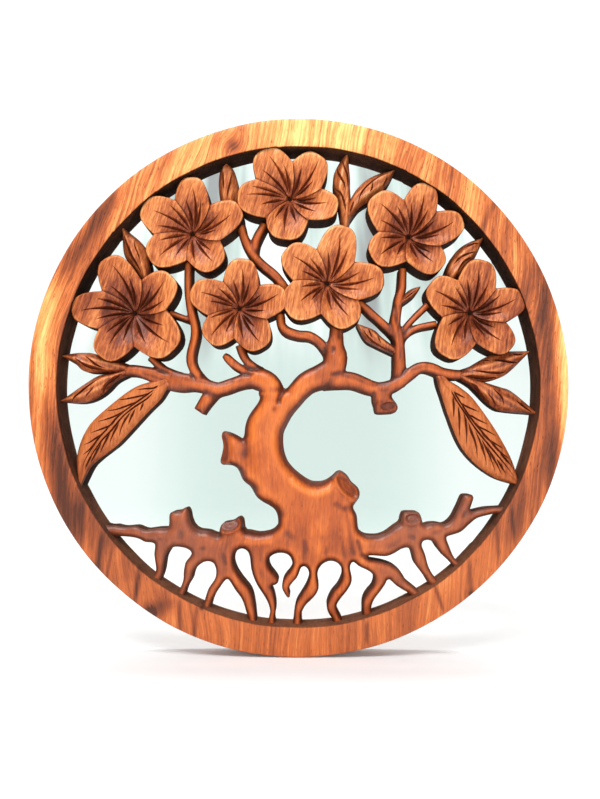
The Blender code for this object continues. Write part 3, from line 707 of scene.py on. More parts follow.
# The trunk with its roots and the cut stub, as outlines of (x, z), then some places on them as
# (x, z, depth of the top, how far in it is rounded)
masses = {
    "trunk and roots": (
        ((-22, -5.5), (-21.3, -8), (-22.5, -11), (-26, -16), (-28, -19.5), (-29.3, -24),
         (-29.9, -29), (-31, -30.9), (-33, -30), (-36, -28.2), (-40, -26.7), (-42.1, -27.3),
         (-42.8, -30), (-42, -33), (-41.6, -36), (-42.3, -39.5), (-43.3, -43), (-43, -45.2),
         (-41.3, -46), (-38, -46), (-35.5, -46.5), (-33.5, -48), (-32, -51), (-31, -53.5),
         (-29.5, -55.5), (-26.5, -57.8), (-25, -60), (-22.8, -63.8), (-20, -66), (-17, -67.6),
         (-14, -69.6), (-12, -71.6), (-10.8, -74.5), (-10.6, -78), (-11.5, -80), (-14, -82.2),
         (-17, -83.3), (-21.4, -84), (-27, -83.2), (-29, -82.9), (-30.1, -81.5), (-30.8, -76.6),
         (-31.8, -75.3), (-33.6, -75.5), (-36.4, -77.2), (-41.4, -78.2), (-43.1, -80.6),
         (-43.6, -84.4), (-45.7, -84.6), (-50.1, -82.8), (-55.1, -82.3), (-58.2, -80), (-60, -76),
         (-60.8, -71.7), (-62.2, -69.8), (-63.6, -70.1), (-65.6, -71.4), (-69.6, -71.9),
         (-71, -72.5), (-71.7, -74.5), (-71.6, -78.5), (-72.6, -81), (-78.2, -81.2), (-84.5, -82),
         (-88, -80.9), (-90.8, -80), (-97.6, -80.6), (-102.4, -79.8), (-105.2, -80.1), (-112, -79),
         (-111, -85), (-105, -85.4), (-99.5, -85.8), (-91.9, -86.3), (-88, -87.2), (-85, -88.7),
         (-82, -89.1), (-79.8, -89.9), (-79.6, -92), (-79.9, -95.9), (-79.2, -101.4),
         (-79.3, -105.5), (-82.5, -111.5), (-78.5, -113), (-75.3, -106.5), (-73.9, -98.3),
         (-71.6, -93.6), (-69.6, -92), (-66.9, -91.5), (-62.5, -92.2), (-59.6, -93.8),
         (-58.9, -95.2), (-60.2, -97.5), (-62.3, -100.1), (-63.5, -105.7), (-63.8, -110),
         (-65.6, -114.8), (-69, -120.5), (-64.5, -123), (-61.8, -114.6), (-59.2, -110),
         (-57.4, -104.4), (-53.7, -100.7), (-49.9, -99.5), (-46.8, -100.4), (-45.4, -103.5),
         (-45.4, -106.5), (-46.3, -109.5), (-49.6, -114.8), (-51.6, -121.5), (-54.5, -128),
         (-50, -130), (-48, -122.8), (-46.1, -118.5), (-42.4, -113), (-39.6, -109.6),
         (-38.7, -109.3), (-37.4, -110.6), (-34.9, -114.2), (-31.1, -119.7), (-28.9, -125.2),
         (-27.2, -130.7), (-27, -137), (-22.5, -138), (-22.8, -130.6), (-23.9, -122.7),
         (-26.2, -115.4), (-30.6, -109.3), (-34.2, -103.8), (-35.6, -98.8), (-34.6, -94.8),
         (-32.8, -93), (-30.6, -92.4), (-28, -93.7), (-26.5, -97), (-25.7, -101.9), (-24.7, -106.8),
         (-22.3, -112.3), (-18.8, -117.8), (-16.1, -122.7), (-15.1, -127), (-16, -131),
         (-16.3, -137), (-11.5, -138), (-12.6, -131), (-12, -126.3), (-12.1, -121.5),
         (-12.9, -116.8), (-14.2, -113.6), (-13.6, -112.7), (-12.4, -112.5), (-10.9, -111.3),
         (-10.6, -109.5), (-12.4, -106.5), (-15.1, -103.1), (-16.1, -99.6), (-15, -96.7),
         (-12, -95), (-8.3, -94.7), (-4.9, -96), (-3.1, -98.6), (-2.8, -101.4), (-4.1, -104.3),
         (-6.6, -107.4), (-8.1, -110.4), (-8.5, -114.1), (-7.4, -116.8), (-5.4, -119.5),
         (-4.3, -119.6), (-3.9, -118), (-4.5, -114.7), (-2.8, -111.4), (-0.3, -108.6),
         (1.1, -105.2), (2, -102.8), (3.8, -102), (5.9, -103.3), (6.8, -106.1), (6.4, -109.2),
         (4.8, -112.8), (2.1, -117.1), (-0.5, -121.4), (-1.7, -125.7), (-2, -130.9), (-2.4, -138),
         (2.6, -138), (2.3, -132), (2.4, -128.7), (3.1, -126.3), (5.4, -122.6), (9.2, -118.9),
         (11.4, -115.9), (11.9, -112.8), (11.2, -109.1), (11.1, -105.5), (12.2, -102.6),
         (14.4, -100.4), (17.9, -99.2), (21.5, -99.8), (23.8, -101.7), (24.8, -104.2), (25, -107.7),
         (22.9, -112.1), (19.3, -116.4), (16.9, -121.4), (16.5, -125), (17.7, -128.5),
         (19.6, -131.5), (21, -137.5), (26.5, -137), (24.6, -131.5), (22.3, -127.1), (21.6, -123.5),
         (23.7, -119.9), (27.3, -115.6), (29.9, -111.3), (30.2, -107.7), (29.4, -103.6),
         (29.8, -100.9), (31.4, -99.7), (34.4, -101.9), (38.9, -104.1), (41.9, -106.3),
         (43, -109.1), (42, -112.7), (38.9, -116.3), (36.7, -120.6), (36.3, -125.6), (37, -133.5),
         (42.5, -132), (41, -125.6), (42.1, -121.3), (45.4, -116.3), (48.6, -112), (49.9, -109.4),
         (51.2, -109.1), (54.8, -112.4), (58.5, -114.8), (62, -116.9), (67.5, -122), (71, -119.5),
         (65.4, -114.1), (60.7, -110), (57.1, -104.8), (52.7, -101.2), (46.2, -99.2), (40.4, -98),
         (38.9, -97.1), (40, -96.2), (43.3, -96.2), (49.1, -96.4), (53.5, -94.9), (57.9, -92.4),
         (61, -91.7), (63.1, -92.8), (64.2, -95.4), (65.4, -100.2), (68.5, -104.8), (71.5, -108.6),
         (76, -115), (79.5, -112.5), (76, -107.5), (74.2, -104.8), (72.3, -100.4), (70.7, -94.7),
         (69.2, -90.6), (70.1, -88.1), (73.2, -87.6), (76.2, -89), (78.2, -92.2), (81.1, -96),
         (84.7, -99.6), (89.5, -104.5), (92, -101.5), (88.2, -98), (85.6, -93.8), (83.6, -88.9),
         (83, -85.8), (85.6, -84.7), (91.4, -82.6), (95.8, -78.6), (99.5, -75.7), (104.6, -74),
         (110.4, -72.9), (116, -73.5), (116.5, -69), (111.2, -69.1), (104.6, -69.8), (99.5, -71),
         (97.2, -71.5), (96.3, -70.6), (97.2, -68), (98.3, -64), (97.6, -62.6), (94.3, -62.3),
         (92.5, -63.4), (90.1, -68.7), (87.1, -74.3), (84.5, -77.2), (82, -78.6), (78.4, -78),
         (74, -78.1), (71.2, -78.8), (69.9, -78), (69.2, -75.4), (68.2, -72.8), (66.5, -71.9),
         (61, -71.7), (59.3, -72.1), (58.1, -74.5), (57.2, -77.8), (53.6, -80.3), (49.2, -83.4),
         (46, -84.8), (43.4, -85.3), (38.8, -85), (36, -83.6), (34.3, -81.5), (33.5, -78),
         (33, -73.5), (31.6, -70.5), (31.4, -69), (33, -66.8), (34.7, -64), (35, -61), (34, -58.5),
         (32, -56.6), (30, -55), (28, -51.8), (26, -49.8), (24, -49), (22, -49.6), (20.5, -51),
         (18, -53), (15, -54.8), (12, -55.4), (8, -55), (4, -53), (0, -50), (-3, -47), (-6, -43),
         (-7.8, -38), (-8.3, -33), (-8, -28), (-6.5, -24), (-4, -19), (-1, -15), (2, -11.5),
         (4, -8), (1, -3.5), (-3, -2.5), (-6.3, -2.8), (-10, -2), (-15, 0), (-19, -1)),
        ((-12, -5, 4, 6), (-16, -18, 3.1, 6.5), (-19, -34, 2.8, 7), (-33, -38, 4.4, 5),
         (-39, -38, 4.8, 4.5), (-16, -50, 2.7, 7), (-6, -60, 2.6, 7), (8, -66, 2.6, 7),
         (12, -80, 2.7, 7), (12, -90, 3.2, 6), (22, -60, 3.4, 5), (28, -64, 4.2, 5),
         (30, -80, 3.6, 5.5), (-12, -86, 4.4, 5), (0, -95, 4.4, 4.5), (18, -95, 4.4, 4.5),
         (36, -92, 4.6, 4.5), (-22, -89, 5, 4.5), (-33, -87, 5.2, 4.5), (-37, -79, 6.4, 3.5),
         (-45, -91, 5.2, 5), (-55, -88, 5.2, 5), (-65, -85, 5, 5), (-66, -77, 5.6, 4.5),
         (-74, -85, 5.5, 4), (-85, -85.5, 6.4, 3), (-100, -83, 7.2, 3), (45, -91, 5.2, 4.5),
         (58, -85, 5, 5), (70, -83, 5.2, 4.5), (64, -76, 6, 4), (80, -82, 5.4, 4),
         (90, -78, 5.8, 3.5), (95, -68, 7, 3), (104, -72, 7, 2.6), (-77, -98, 6.5, 2.8),
         (-78, -106, 8, 2.4), (-58, -98, 6, 3.2), (-62, -110, 7.5, 2.4), (-42, -104, 6, 3.2),
         (-49, -118, 7.5, 2.4), (-33, -106, 6, 3.2), (-27, -122, 7, 2.8), (-21, -100, 5.4, 4),
         (-19, -109, 5.8, 3.6), (-12.5, -110, 7, 2.6), (-14, -122, 7.5, 2.2), (-1, -102, 5.6, 3),
         (-6.5, -112, 6.6, 2.4), (-5, -118, 8, 2), (9, -104, 5.6, 3), (8, -112, 6, 3),
         (2, -122, 7, 2.8), (0, -131, 8, 2.4), (27, -104, 5.8, 2.8), (27, -111, 6.2, 2.8),
         (19, -122, 7, 2.4), (22, -131, 8, 2.2), (36, -100.5, 5.6, 3), (47, -104, 6, 3),
         (60, -112, 7.5, 2.2), (46, -112, 6.4, 3), (40, -120, 7, 2.6), (39, -130, 8, 2.2),
         (68, -95, 6, 2.8), (73, -106, 7.5, 2.2), (80, -90, 6, 2.8), (86, -98, 7.8, 2))),
    "right stub": (
        ((42.3, -9), (43.5, -13), (44.2, -16.6), (45.4, -17.2), (52, -17.2), (55, -16.4),
         (56.4, -14), (55.8, -11.5), (54, -9), (53.2, -6.8), (55, -3), (50, 0), (43, -2)),
        ((49, -6, 6, 4), (50, -10, 5.8, 4), (45, -13, 6.6, 4), (51, -16, 7.5, 4))),
}

# Each cut stump: middle of its oval face, half axes, turn of the long axis in degrees,
# depth of the face, and how far it falls per millimetre to the right and upwards
stumpFaces = {
    "left stump": ((-41.2, -36.4), (8.6, 2.5), 93, 6.6, (-0.75, 0.03)),
    "right stump": ((27.4, -57.6), (7.6, 3.0), -52, 5.4, (0.42, 0.30)),
    "left base stump": ((-37.2, -79.3), (5.2, 3.0), 18, 6.6, (-0.1, 0.5)),
    "right stub": ((50.8, -13.0), (4.0, 2.1), 8, 7.4, (0.0, -0.3)),
    "left stub": ((-56.2, -16.0), (3.1, 1.4), -33, 8.2, (0.25, 0.4)),
    "right arm stump": ((64.0, -75.4), (3.8, 2.3), 3, 6.8, (0.0, 0.45)),
}
stump = dict(
    dish=0.35,            # how far the middle of a face is hollowed
    ring=0.72,            # the groove round it: share of its half axes, depth and width
    ringDepth=0.35,
    ringWidth=0.45,
    lip=0.9,              # height of the lip round it, the widths over which it stands and
    lipStand=0.6,         # falls away, and its distance from the limb's own edge
    lipEnd=2.6,
    lipInset=1.6,
    blend=0.3,
    deepest=2,            # most that a face is cut into the limb
    # relief of a face, its groove and its lip: the face a little darker, painted shade in the
    # groove, painted highlight on the lip
    faceRelief=-0.15,
    ringRelief=-0.3,
    lipRelief=0.3,
)

# Creases and flutes in the tree as (points, width, depth), and crests where the depth is negative
creases = (
    (((-6.4, -2), (-8.6, -5.5), (-10.3, -9.5), (-10.6, -13)), 1.3, 1.9),
    (((-12.2, -12.5), (-12.9, -15), (-12.6, -17.5)), 0.9, 0.8),
    (((-10.9, -1.5), (-10.4, -5), (-11.2, -9)), 0.8, 0.5),
    (((-4, -53), (3, -59.5), (12, -61.5), (20, -58.5)), 2.2, -0.8),
    (((-30, -88.2), (-22, -88.8), (-12, -88)), 1.8, -0.6),
    (((26, -68), (28.5, -78), (30, -88), (31.5, -97)), 1.5, 0.6),
    (((24, -84), (25.2, -92), (25.8, -98)), 1.0, 0.5),
    (((33, -86), (35.2, -93), (37, -98)), 1.2, 0.9),
    (((14, -84), (15.4, -92), (16, -98)), 1.4, 0.35),
    (((4.5, -86), (4, -93), (3.4, -100)), 1.3, 0.45),
    (((-18, -66), (-11, -70), (-7.4, -76)), 2.4, 0.7),
    (((-33, -47), (-28, -54), (-22, -61)), 2.4, 0.6),
    (((-8.5, -83), (-5, -84), (0, -88)), 2.2, 0.5),
    (((-29, -31.5), (-28.4, -36), (-29.5, -43)), 2.0, 0.7),
    (((20, -66), (24, -69), (30, -70)), 1.8, 0.6),
    (((20.2, 22), (20.4, 19), (19.6, 16)), 1.1, 1.0),
    (((25, 6.4), (21, 5.2), (17.5, 4.6)), 1.2, 1.0),
    (((55.2, 46), (55.5, 42), (55.7, 37), (56.2, 33)), 0.9, 0.9),
    (((52.6, 25), (54.4, 22.4), (55.4, 20)), 1.1, 1.3),
    (((60.5, 9), (59.2, 5.5), (57.5, 2.5)), 1.0, 0.9),
    (((44.5, -3.6), (49, -3.9), (53, -3)), 0.9, 0.6),
    (((42.5, -4), (43.8, -9), (44.6, -14)), 1.2, 0.4),
    (((-60.5, 6), (-58.5, 3), (-56.6, 1.6)), 1.0, 1.0),
    (((-53, -5.5), (-51, -4), (-48.5, -3.4)), 1.0, 0.7),
    (((-31, 5), (-27, 4.6), (-23.5, 5.4)), 1.0, 0.9),
    (((-28, 9.8), (-25, 8.4), (-21, 6.6)), 0.9, 0.8),
    (((-79.5, 7.6), (-75.5, 6.6), (-72, 5)), 0.9, 0.7),
    (((-39.8, -102), (-40.2, -98), (-41.5, -94)), 1.1, 0.8),
    (((-78.5, -86.8), (-76.3, -87.2), (-75, -88.5)), 0.9, 0.8),
    (((-55, -92.8), (-52.5, -92.2), (-50, -91)), 1.0, 0.8),
    (((66, -87.3), (63.5, -85.5), (61, -84.5)), 1.0, 0.8),
    (((95.5, -71.4), (93, -73), (91.5, -76)), 1.0, 0.8),
    (((39, -97), (36.8, -96), (34.8, -94)), 1.0, 0.9),
    (((-66, -88.6), (-64.5, -85), (-66, -81)), 1.6, 0.7),
    (((49, -92), (54, -90), (58, -86)), 1.6, 0.5),
    (((74, -84), (79, -82.6), (84, -80)), 1.4, 0.5),
    (((58.2, 46), (56.2, 37), (57.6, 26), (58.2, 12)), 0.8, 0.6),
    (((-8, 57.5), (-16, 64.5), (-23.5, 70.5)), 0.8, 0.6),
    (((-28, 77), (-31, 84), (-32.5, 90)), 0.7, 0.5),
    (((-61.2, 44), (-59, 31), (-61, 17), (-59.4, 8)), 0.8, 0.55),
    (((24, 4.6), (33, 2.4), (43, -1.4), (53, -0.6)), 0.9, 0.45),
    (((-35, 1.4), (-44, -1.2), (-55, 0.6), (-66, 2.4)), 0.9, 0.45),
    (((-72, 0.2), (-80, 3.4), (-89, 6.4)), 0.9, 0.6),
    (((63, 6.6), (72, 9.4), (82, 7)), 0.8, 0.5),
    (((16.8, 17.5), (11, 24.4), (4, 27.6), (-4, 28.8)), 0.8, 0.55),
    (((23.6, 24), (23.4, 31), (23.4, 38)), 0.9, 0.6),
    (((54, 28.5), (46, 36), (38, 43.5)), 0.7, 0.5),
    (((-24, 6.8), (-31, 9), (-38, 13)), 0.7, 0.5),
)


def gridNear(line, margin, xs, zs):
    # The part of the grid within a margin round a line
    window = tuple(slice(*np.searchsorted(axis, (line[:, k].min() - margin,
                                                 line[:, k].max() + margin)))
                   for k, axis in enumerate((xs, zs)))
    return window, *np.meshgrid(xs[window[0]], zs[window[1]], indexing="ij")


def outlineField(outline, xs, zs):
    # For the grid points near a closed outline: distance to it, negative inside
    points = [outline[-1], *outline, outline[0], outline[1]]
    line = spline(points, tree["outlineSpacing"])[:, :2]
    start = np.argmin(np.hypot(*(line - outline[0]).T[:, :len(line) // 2]))
    end = len(line) // 2 + np.argmin(np.hypot(*(line[len(line) // 2:] - outline[0]).T))
    line = line[start:end]
    window, px, pz = gridNear(line, tree["outlineMargin"], xs, zs)
    near = np.full(px.shape, np.inf)
    inside = np.zeros(px.shape, bool)
    for p, q in zip(line, np.roll(line, -1, axis=0)):
        step = q - p
        t = np.clip(((px - p[0]) * step[0] + (pz - p[1]) * step[1]) / max(step @ step, 1e-9), 0, 1)
        near = np.minimum(near, np.hypot(px - p[0] - t * step[0], pz - p[1] - t * step[1]))
        if p[1] != q[1]:
            spans = (p[1] > pz) != (q[1] > pz)
            inside ^= spans & (px < p[0] + (pz - p[1]) / (q[1] - p[1]) * step[0])
    return window, px, pz, np.where(inside, -near, near)


def weigh(places, px, pz):
    # Smooth fields through some places given as (x, z, values)
    totals = 0
    weights = 0
    for x, z, *values in places:
        weight = 1 / (((px - x) ** 2 + (pz - z) ** 2) + tree["spread"]) ** tree["falloff"]
        totals = totals + weight[..., None] * np.array(values)
        weights = weights + weight
    return np.moveaxis(totals / weights[..., None], -1, 0)


def limbField(stations, xs, zs):
    # For the grid points near a limb: distance to its side (negative inside), distance past
    # its ends, half width, depth of its crest and distance from its foot
    line = spline(stations, tree["lineSpacing"])
    window, px, pz = gridNear(line, tree["margin"] + line[:, 2].max(), xs, zs)
    farInside = -99.0
    best = np.full(px.shape, np.inf)
    fields = [np.full(px.shape, fill) for fill in (0.0, farInside, 1.0, 0.0, 0.0)]
    travelled = 0.0
    for k, (p, q) in enumerate(zip(line, line[1:])):
        step = q[:2] - p[:2]
        length = math.hypot(*step)
        along = ((px - p[0]) * step[0] + (pz - p[1]) * step[1]) / length
        aside = np.abs((px - p[0]) * step[1] - (pz - p[1]) * step[0]) / length
        t = np.clip(along / length, 0, 1)
        past = np.full(px.shape, farInside)
        away = np.hypot(aside, np.maximum(np.maximum(-along, along - length), 0))
        if k == 0:
            past = np.maximum(past, -along)
            away = np.where(along < 0, aside, away)
        if k == len(line) - 2:
            past = np.maximum(past, along - length)
            away = np.where(along > length, aside, away)
        half = p[2] + (q[2] - p[2]) * t
        beside = (along >= -0.02) & (along <= length + 0.02)
        rank = away - half + 3 * ~beside     # a stretch that a point lies beside comes first
        closer = rank < best
        best = np.where(closer, rank, best)
        found = (away - half, past, half, p[3] + (q[3] - p[3]) * t, travelled + along)
        fields = [np.where(closer, new, old) for new, old in zip(found, fields)]
        travelled += length
    return window, fields, travelled


def blur(field, size):
    # A soft average over about size millimetres
    reach = max(1, round(3 * size / tree["gridStep"]))
    weights = np.exp(-0.5 * (np.arange(-reach, reach + 1) * tree["gridStep"] / size) ** 2)
    weights /= weights.sum()
    for axis in (0, 1):
        padded = np.pad(field, [(reach, reach) if k == axis else (0, 0) for k in (0, 1)],
                        mode="edge")
        count = field.shape[axis]
        field = sum(weight * np.take(padded, range(k, k + count), axis=axis)
                    for k, weight in enumerate(weights))
    return field


def rounded(inward, crest, shoulder):
    # Depth of a rounded shoulder; inward is 0 at the edge and 1 where the top is reached
    away = np.clip(1 - inward, 0, 1)
    turned = (1 - np.sqrt(1 - (tree["quarter"] * away) ** 2)) / tree["quarterDrop"]
    return crest + (shoulder - crest) * (turned + (away ** 2 - turned) * tree["ridge"])


def unevenness(shape, seed):
    # A gentle random field of about -1 to 1
    field = blur(np.random.default_rng(seed).normal(size=shape), tree["unevenSpan"])
    return field / (2 * field.std())


def treeFields(xs, zs):
    # The tree seen from the front (negative inside), the depth of its top, and its relief: painted
    # highlight on crests, partly wear, and painted shade in hollows and along its edges
    outline = np.full((len(xs), len(zs)), 20.0)     # nothing near yet, and lower than any limb
    surface = np.full((len(xs), len(zs)), 26.0)

    def add(window, side, depth, fillet):
        outline[window] = smoothMin(outline[window], side, fillet)
        surface[window] = smoothMin(surface[window], depth, tree["blendDepth"])

    for stations in limbs.values():
        window, (side, past, half, crest, foot), _ = limbField(stations, xs, zs)
        shoulder = np.maximum(tree["shoulder"], crest + tree["shoulderDrop"])
        depth = rounded(-side / np.minimum(half, tree["shoulderWidth"]), crest, shoulder)
        depth += tree["sideFall"] * np.maximum(side, 0) + tree["endFall"] * np.maximum(past, 0)
        depth += tree["sinkDepth"] * (1 - smoothStep(0, tree["sinkLength"], foot))
        add(window, np.maximum(side, past), depth, tree["fillet"])
    for edge, tops in masses.values():
        window, px, pz, side = outlineField(edge, xs, zs)
        crest, width = weigh(tops, px, pz)
        shoulder = np.maximum(tree["shoulder"], crest + tree["shoulderDrop"])
        depth = rounded(-side / width, crest, shoulder) + tree["sideFall"] * np.maximum(side, 0)
        add(window, side, depth, tree["fillet"] / 2)
    surface = np.minimum(surface, board["thickness"] - 1)

    for points, width, deep in creases:
        window, (side, _, _, _, foot), length = limbField([(x, z, 0.01, 0) for x, z in points],
                                                          xs, zs)
        starts, stops = tree["creaseEnds"]
        ends = np.clip(foot / starts, 0, 1) * np.clip((length - foot) / stops, 0, 1)
        surface[window] += deep * np.exp(-(np.maximum(side, 0) / width) ** 2) * ends
    surface = blur(surface, tree["smoothing"]) + tree["unevenTop"] * unevenness(surface.shape, 5)
    outline = outline + tree["unevenEdge"] * unevenness(outline.shape, 6)

    # Relief, painted as highlight on crests and as shade in hollows and along the edges
    inside = (outline < tree["gridStep"]).astype(float)
    relief = sum((blur(surface * inside, reach) / np.maximum(blur(inside, reach), 0.02) - surface)
                 / full for reach, full in tree["crests"])
    relief = np.clip(relief, -1, 1)

    px, pz = np.meshgrid(xs, zs, indexing="ij")
    for (x, z), (long, short), turn, depth, (fallX, fallZ) in stumpFaces.values():
        cosine = math.cos(math.radians(turn))
        sine = math.sin(math.radians(turn))
        u = ((px - x) * cosine + (pz - z) * sine) / long
        v = ((pz - z) * cosine - (px - x) * sine) / short
        rho = np.hypot(u, v)
        beyond = (rho - 1) * short
        ring = np.exp(-((rho - stump["ring"]) * short / stump["ringWidth"]) ** 2)
        face = depth + fallX * (px - x) + fallZ * (pz - z)
        face += stump["dish"] * (1 - np.minimum(rho, 1)) ** 2
        face += stump["ringDepth"] * ring
        outside = smoothStep(-stump["blend"], stump["blend"], beyond)
        onLip = outside * (1 - smoothStep(stump["lipStand"], stump["lipEnd"], beyond))
        onLip = onLip * (1 - smoothStep(-stump["lipInset"], 0.0, outline))
        inFace = 1 - outside
        surface = surface + (np.minimum(face - stump["lip"], surface) - surface) * onLip
        surface = surface + (np.maximum(face, surface - stump["deepest"]) - surface) * inFace
        # Painted shade in the groove round a face and a painted highlight on its lip
        relief = (relief + (stump["faceRelief"] + stump["ringRelief"] * ring - relief) * inFace
                  + (stump["lipRelief"] - relief) * onLip)
    return outline, np.clip(surface, *tree["depths"]), relief


def cutOut(name, xs, zs, outline, surface, relief, back, finishNames):
    # The grid inside the outline, with straight walls down to a flat back
    inside = outline < 0
    node = np.full(inside.shape, -1)
    node[inside] = np.arange(inside.sum())
    px, pz = np.meshgrid(xs, zs, indexing="ij")
    points = [np.stack([px[inside], pz[inside], surface[inside], relief[inside]], axis=1)]
    total = len(points[0])
    crossing = []
    for axis in (0, 1):
        here = tuple(slice(0, -1) if k == axis else slice(None) for k in (0, 1))
        there = tuple(slice(1, None) if k == axis else slice(None) for k in (0, 1))
        crossed = inside[here] != inside[there]
        t = (outline[here] / (outline[here] - outline[there] + 1e-12))[crossed]
        t = t.clip(tree["nearestToStep"], 1 - tree["nearestToStep"])
        points.append(np.stack([(grid[here][crossed] * (1 - t) + grid[there][crossed] * t)
                                for grid in (px, pz, surface, relief)], axis=1))
        index = np.full(crossed.shape, -1)
        index[crossed] = total + np.arange(crossed.sum())
        total += int(crossed.sum())
        crossing.append(index)
    alongX, alongZ = crossing

    whole = inside[:-1, :-1] & inside[1:, :-1] & inside[1:, 1:] & inside[:-1, 1:]
    some = inside[:-1, :-1] | inside[1:, :-1] | inside[1:, 1:] | inside[:-1, 1:]
    i, j = np.nonzero(whole)
    front = np.stack([node[i, j], node[i + 1, j], node[i + 1, j + 1], node[i, j + 1]], 1).tolist()
    edges = []
    for i, j in zip(*np.nonzero(some & ~whole)):
        turnRound = (node[i, j], alongX[i, j], node[i + 1, j], alongZ[i + 1, j],
                     node[i + 1, j + 1], alongX[i, j + 1], node[i, j + 1], alongZ[i, j])
        corners = [(int(index), k % 2) for k, index in enumerate(turnRound) if index >= 0]
        front.append([index for index, _ in corners])
        for (first, onEdge), (second, nextOnEdge) in zip(corners, corners[1:] + corners[:1]):
            if onEdge and nextOnEdge:
                edges.append((first, second))

    top = np.concatenate(points)
    bottom = top.copy()
    bottom[:, 2] = back
    faces = front + [[index + total for index in face[::-1]] for face in front]
    faces += [[second, first, first + total, second + total] for first, second in edges]
    finishOf = [0] * len(front) + [1] * (len(front) + len(edges))
    both = np.concatenate([top, bottom])
    return makeShell(name, both[:, :3], faces, finishOf, finishNames, both[:, 3])


def makeTree(back):
    inner = board["radius"] - board["rimWidth"]
    xs = np.arange(-inner - tree["pastSides"], inner + tree["pastSides"], tree["gridStep"])
    zs = np.arange(-inner - tree["pastFoot"], inner + tree["pastTop"], tree["gridStep"])
    outline, surface, relief = treeFields(xs, zs)
    return cutOut("tree", xs, zs, outline, surface, relief, back, ["branchWood", "shadedLimbWall"])


# The open flowers: five petals laid like a pinwheel, each over its neighbour clockwise

petal = dict(
    fullness=3.0,       # exponent of a petal's oval, 2 is an ellipse and more is fuller
    swirl=0.55,         # turn in degrees per mm of its surface and grooves towards the edge
    top=1.3,
    edgeDrop=1.5,       # rounding of its edge, down and in
    edgeRound=1.9,
    edgeQuarter=0.98,   # how much of a quarter round that is, and its drop
    edgeQuarterDrop=0.8,
    bowlDepth=9.5,
    bowlReach=0.82,     # share of the petal's reach at which the bowl starts to sink
    bowlCurve=1.35,
    overlap=3.0,        # how far its far side is tucked under the next one, and the share of
    overlapAt=(0.04, 0.14, 0.48, 0.88, 1),     # that at some shares of its reach
    overlapShares=(0.1, 0.6, 1, 0.5, 0.4),
    crown=0.5,          # how far its sides roll down, and how close to them
    crownCurve=5,
    notch=0.8,          # gap in degrees beside each border
    columns=28,
    rings=(0.045, 0.07, 0.1, 0.14, 0.19, 0.25, 0.31, 0.38, 0.46, 0.54, 0.62, 0.7, 0.78, 0.85, 0.9),
    edgeRings=(1.9, 1.2, 0.65, 0.28, 0.06, 0.0),     # distance from the edge
    edgeRelief=(0.0, 0.4, 0.9, 0.7, 0.0, 0.0),       # painted highlight there, partly wear
    nearRelief=0.5,     # relief beside its borders: painted highlight in the first column, which lies on top, and painted shade in the last ones, which are tucked under
    farRelief=(-0.5, -0.5, -1.0),     # and in the last ones, which are tucked under
    grooveStart=2.6,    # distance from the flower's middle, in mm
    grooveStations=7,
    grooveWidth=2.1,
    grooveWidths=(0.85, 1.1),    # how far single grooves may differ from that, as shares
    grooveDepth=1.5,
    grooveDepths=(0.9, 1.1),
    grooveEnds=(0.32, 0.55),     # shares of its length over which it starts and runs out
    holeDepth=2.4,
    holeRadius=2.2,
    seenFrom=(7.0, -35.7, 429.0),     # the tops were measured from here: x, z, distance
)

